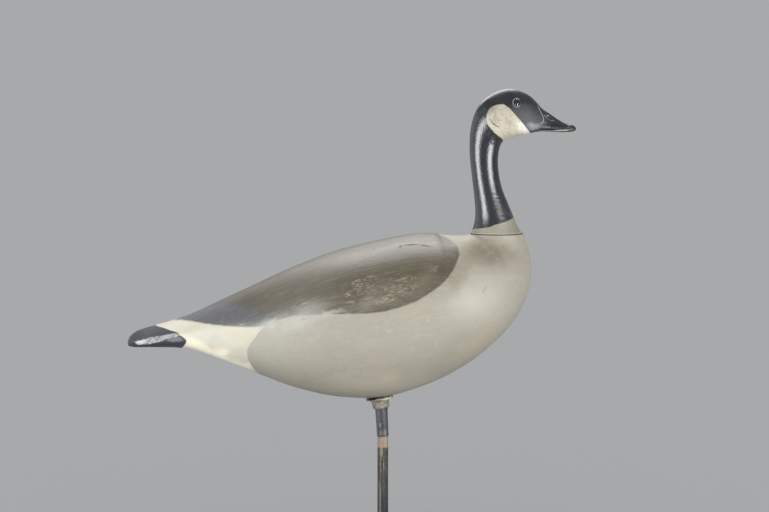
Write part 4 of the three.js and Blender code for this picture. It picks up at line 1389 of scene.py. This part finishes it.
# %% Painted stick
STICK_RADIUS, SHOULDER_RADIUS = 9.2, 8.6
TENON_RADIUS, TENON_LENGTH = 7.2, 30
stick_heights = [6.3, 6.9, 30] + list(np.linspace(38, 190, 20)) + [197.5, 198.6]
rings = [circle((0, 0, z), STICK_RADIUS) for z in stick_heights]
rings += [circle(shoulder, radius, LEAN) for radius in (SHOULDER_RADIUS, TENON_RADIUS)]
rings += [circle(shoulder + up_the(TENON_LENGTH, LEAN), TENON_RADIUS, LEAN)]
stick = extrude_along("painted_stick", rings)
bpy.ops.object.shade_smooth_by_angle(angle=math.radians(35))
print("stick corners:", len(stick.data.vertices))

# %% [markdown]
# The stick was painted dark after it was set up, so a band under the sleeve stayed bare above an
# uneven line. Lower down the paint has worn through along the grain, in long thin streaks.

# %% Dark paint and bare wood
BARE_FROM, BARE_RAGGED = 180, 8
stick_paint, tree, shader = finish_of("worn_paint_on_stick", "#2c2d2b", 0.5)
place = add(tree, "ShaderNodeTexCoord").outputs["Object"]
settings = {"Vector": place, "Scale": (1.0, 1.0, 0.07)}
lengthwise = add(tree, "ShaderNodeMapping", settings).outputs[0]
frayed = ragged(tree, place, 5, 1.0)
dark = over(tree, colour("#1f201f"), colour("#3f403b"), clouds(tree, lengthwise, 5, 0.4, 0.62, 4.0, 0.6))
darker = [by_height(tree, place, 150, 80), clouds(tree, lengthwise, 6, 0.4, 0.52)]
pale_streak = spot(tree, frayed, (-4.7, -9, 85), (2.4, 8, 60), soft=0.6)
dark = coats(tree, dark, [
    ("#575847", clouds(tree, lengthwise, 3, 0.56, 0.68, 4.0, 0.6), 0.75),
    ("#3a3d42", clouds(tree, place, 30, 0.5, 0.7), 0.5),
    ("#7d7a6c", clouds(tree, place, 4, 0.58, 0.66, 4.0, 0.65), 0.6),
    ("#15161a", together(tree, darker, "MULTIPLY"), 0.8),
    ("#6b6a64", pale_streak, 0.8),
])
wood = over(tree, colour("#8f8069"), colour("#857059"), clouds(tree, lengthwise, 4, 0.4, 0.6))
wood = over(tree, wood, colour("#a39883"), clouds(tree, lengthwise, 3, 0.52, 0.65), 0.7)
height = add(tree, "ShaderNodeSeparateXYZ", {0: frayed}).outputs[2]
wave = add(tree, "ShaderNodeTexNoise", {"Vector": lengthwise, "Scale": per_metre(6)}).outputs["Fac"]
settings = {0: wave, 1: 2 * BARE_RAGGED * MM, 2: height}
edge = add(tree, "ShaderNodeMath", settings, operation="MULTIPLY_ADD").outputs[0]
levels = {0: edge, 1: (BARE_FROM + BARE_RAGGED - 1) * MM, 2: (BARE_FROM + BARE_RAGGED + 1) * MM}
bare = add(tree, "ShaderNodeMapRange", levels).outputs[0]
streaks = [
    spot(tree, frayed, (-2.6, -9, 172), (3.6, 8, 18), soft=0.7),
    spot(tree, frayed, (-3.4, -9, 152), (1.5, 8, 26), 2, soft=0.6),
    spot(tree, frayed, (1.4, -9, 152), (1.0, 8, 16), soft=0.8),
    spot(tree, frayed, (6, 6, 170), (2, 5, 26), soft=0.6),
]
thinned = clouds(tree, lengthwise, 3.5, 0.3, 0.6, 4.0, 0.6)
worn_through = together(tree, [together(tree, streaks, "MAXIMUM"), thinned], "MULTIPLY")
wood = over(tree, wood, colour("#7b7454"), worn_through, 0.6)
bare = together(tree, [bare, worn_through], "MAXIMUM")
tree.links.new(over(tree, dark, wood, bare), shader.inputs["Base Color"])
ridges = clouds(tree, lengthwise, 2.2, 0.3, 0.7, 3.0, 0.6)
bump = add(tree, "ShaderNodeBump", {"Height": ridges, "Distance": 0.00025, "Strength": 1.0})
tree.links.new(bump.outputs[0], shader.inputs["Normal"])
stick.data.materials.append(stick_paint)
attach(stick, "root")
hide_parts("stick")
print("nodes in the stick's paint:", len(tree.nodes))

# %% [markdown]
# The foot is a plain turned disc with a quarter-round edge, as a display stand has.

# %% Turned foot
FOOT_RADIUS, FOOT_THICK, FOOT_EDGE = 125, 24, 6
HOLE_RADIUS, HOLE_FLOOR = 9.3, 6

edge_z, edge_x = FOOT_THICK - FOOT_EDGE, FOOT_RADIUS - FOOT_EDGE
foot_profile = [(0.0, 2.0), (0.0, FOOT_RADIUS - 0.8), (0.8, FOOT_RADIUS), (edge_z, FOOT_RADIUS)]
foot_profile += [
    (edge_z + FOOT_EDGE * math.sin(a), edge_x + FOOT_EDGE * math.cos(a))
    for a in np.linspace(0.2, math.pi / 2, 7)
]
foot_profile += [(FOOT_THICK, 60), (FOOT_THICK, 20), (FOOT_THICK, HOLE_RADIUS + 0.5)]
foot_profile += [(FOOT_THICK - 0.5, HOLE_RADIUS), (HOLE_FLOOR, HOLE_RADIUS), (HOLE_FLOOR, 3.0)]
foot = turned("turned_foot", foot_profile, np.zeros(3))
print("foot corners:", len(foot.data.vertices))

# %% [markdown]
# Flat black paint covers it, the turning marks show through as fine rings, and the edge is rubbed.

# %% Flat black paint
foot_paint, tree, shader = finish_of("matt_black_paint_foot", "#1e1e1d", 0.5)
place = add(tree, "ShaderNodeTexCoord").outputs["Object"]
flat_black = over(tree, colour("#181817"), colour("#232321"), clouds(tree, place, 40))
outward = add(tree, "ShaderNodeVectorMath", {0: place, 1: (1.0, 1.0, 0.0)}, operation="MULTIPLY").outputs[0]
radius = add(tree, "ShaderNodeVectorMath", {0: outward}, operation="LENGTH").outputs["Value"]
near_edge = {0: radius, 1: (FOOT_RADIUS - 8) * MM, 2: (FOOT_RADIUS - 2) * MM}
rim = add(tree, "ShaderNodeMapRange", near_edge).outputs[0]
rubs = clouds(tree, place, 12, 0.75, 0.9, 5.0, 0.65, more=rim, by=0.25)
flat_black = over(tree, flat_black, colour("#5d4d3a"), rubs, 0.8)
tree.links.new(flat_black, shader.inputs["Base Color"])
across = add(tree, "ShaderNodeCombineXYZ", {0: radius}).outputs[0]
rings = clouds(tree, across, 2.0, 0.3, 0.7, 2.0)
bump = add(tree, "ShaderNodeBump", {"Height": rings, "Distance": 0.00015, "Strength": 1.0})
tree.links.new(bump.outputs[0], shader.inputs["Normal"])
foot.data.materials.append(foot_paint)
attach(foot, "root")
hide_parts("foot")
print("nodes in the foot's paint:", len(tree.nodes))
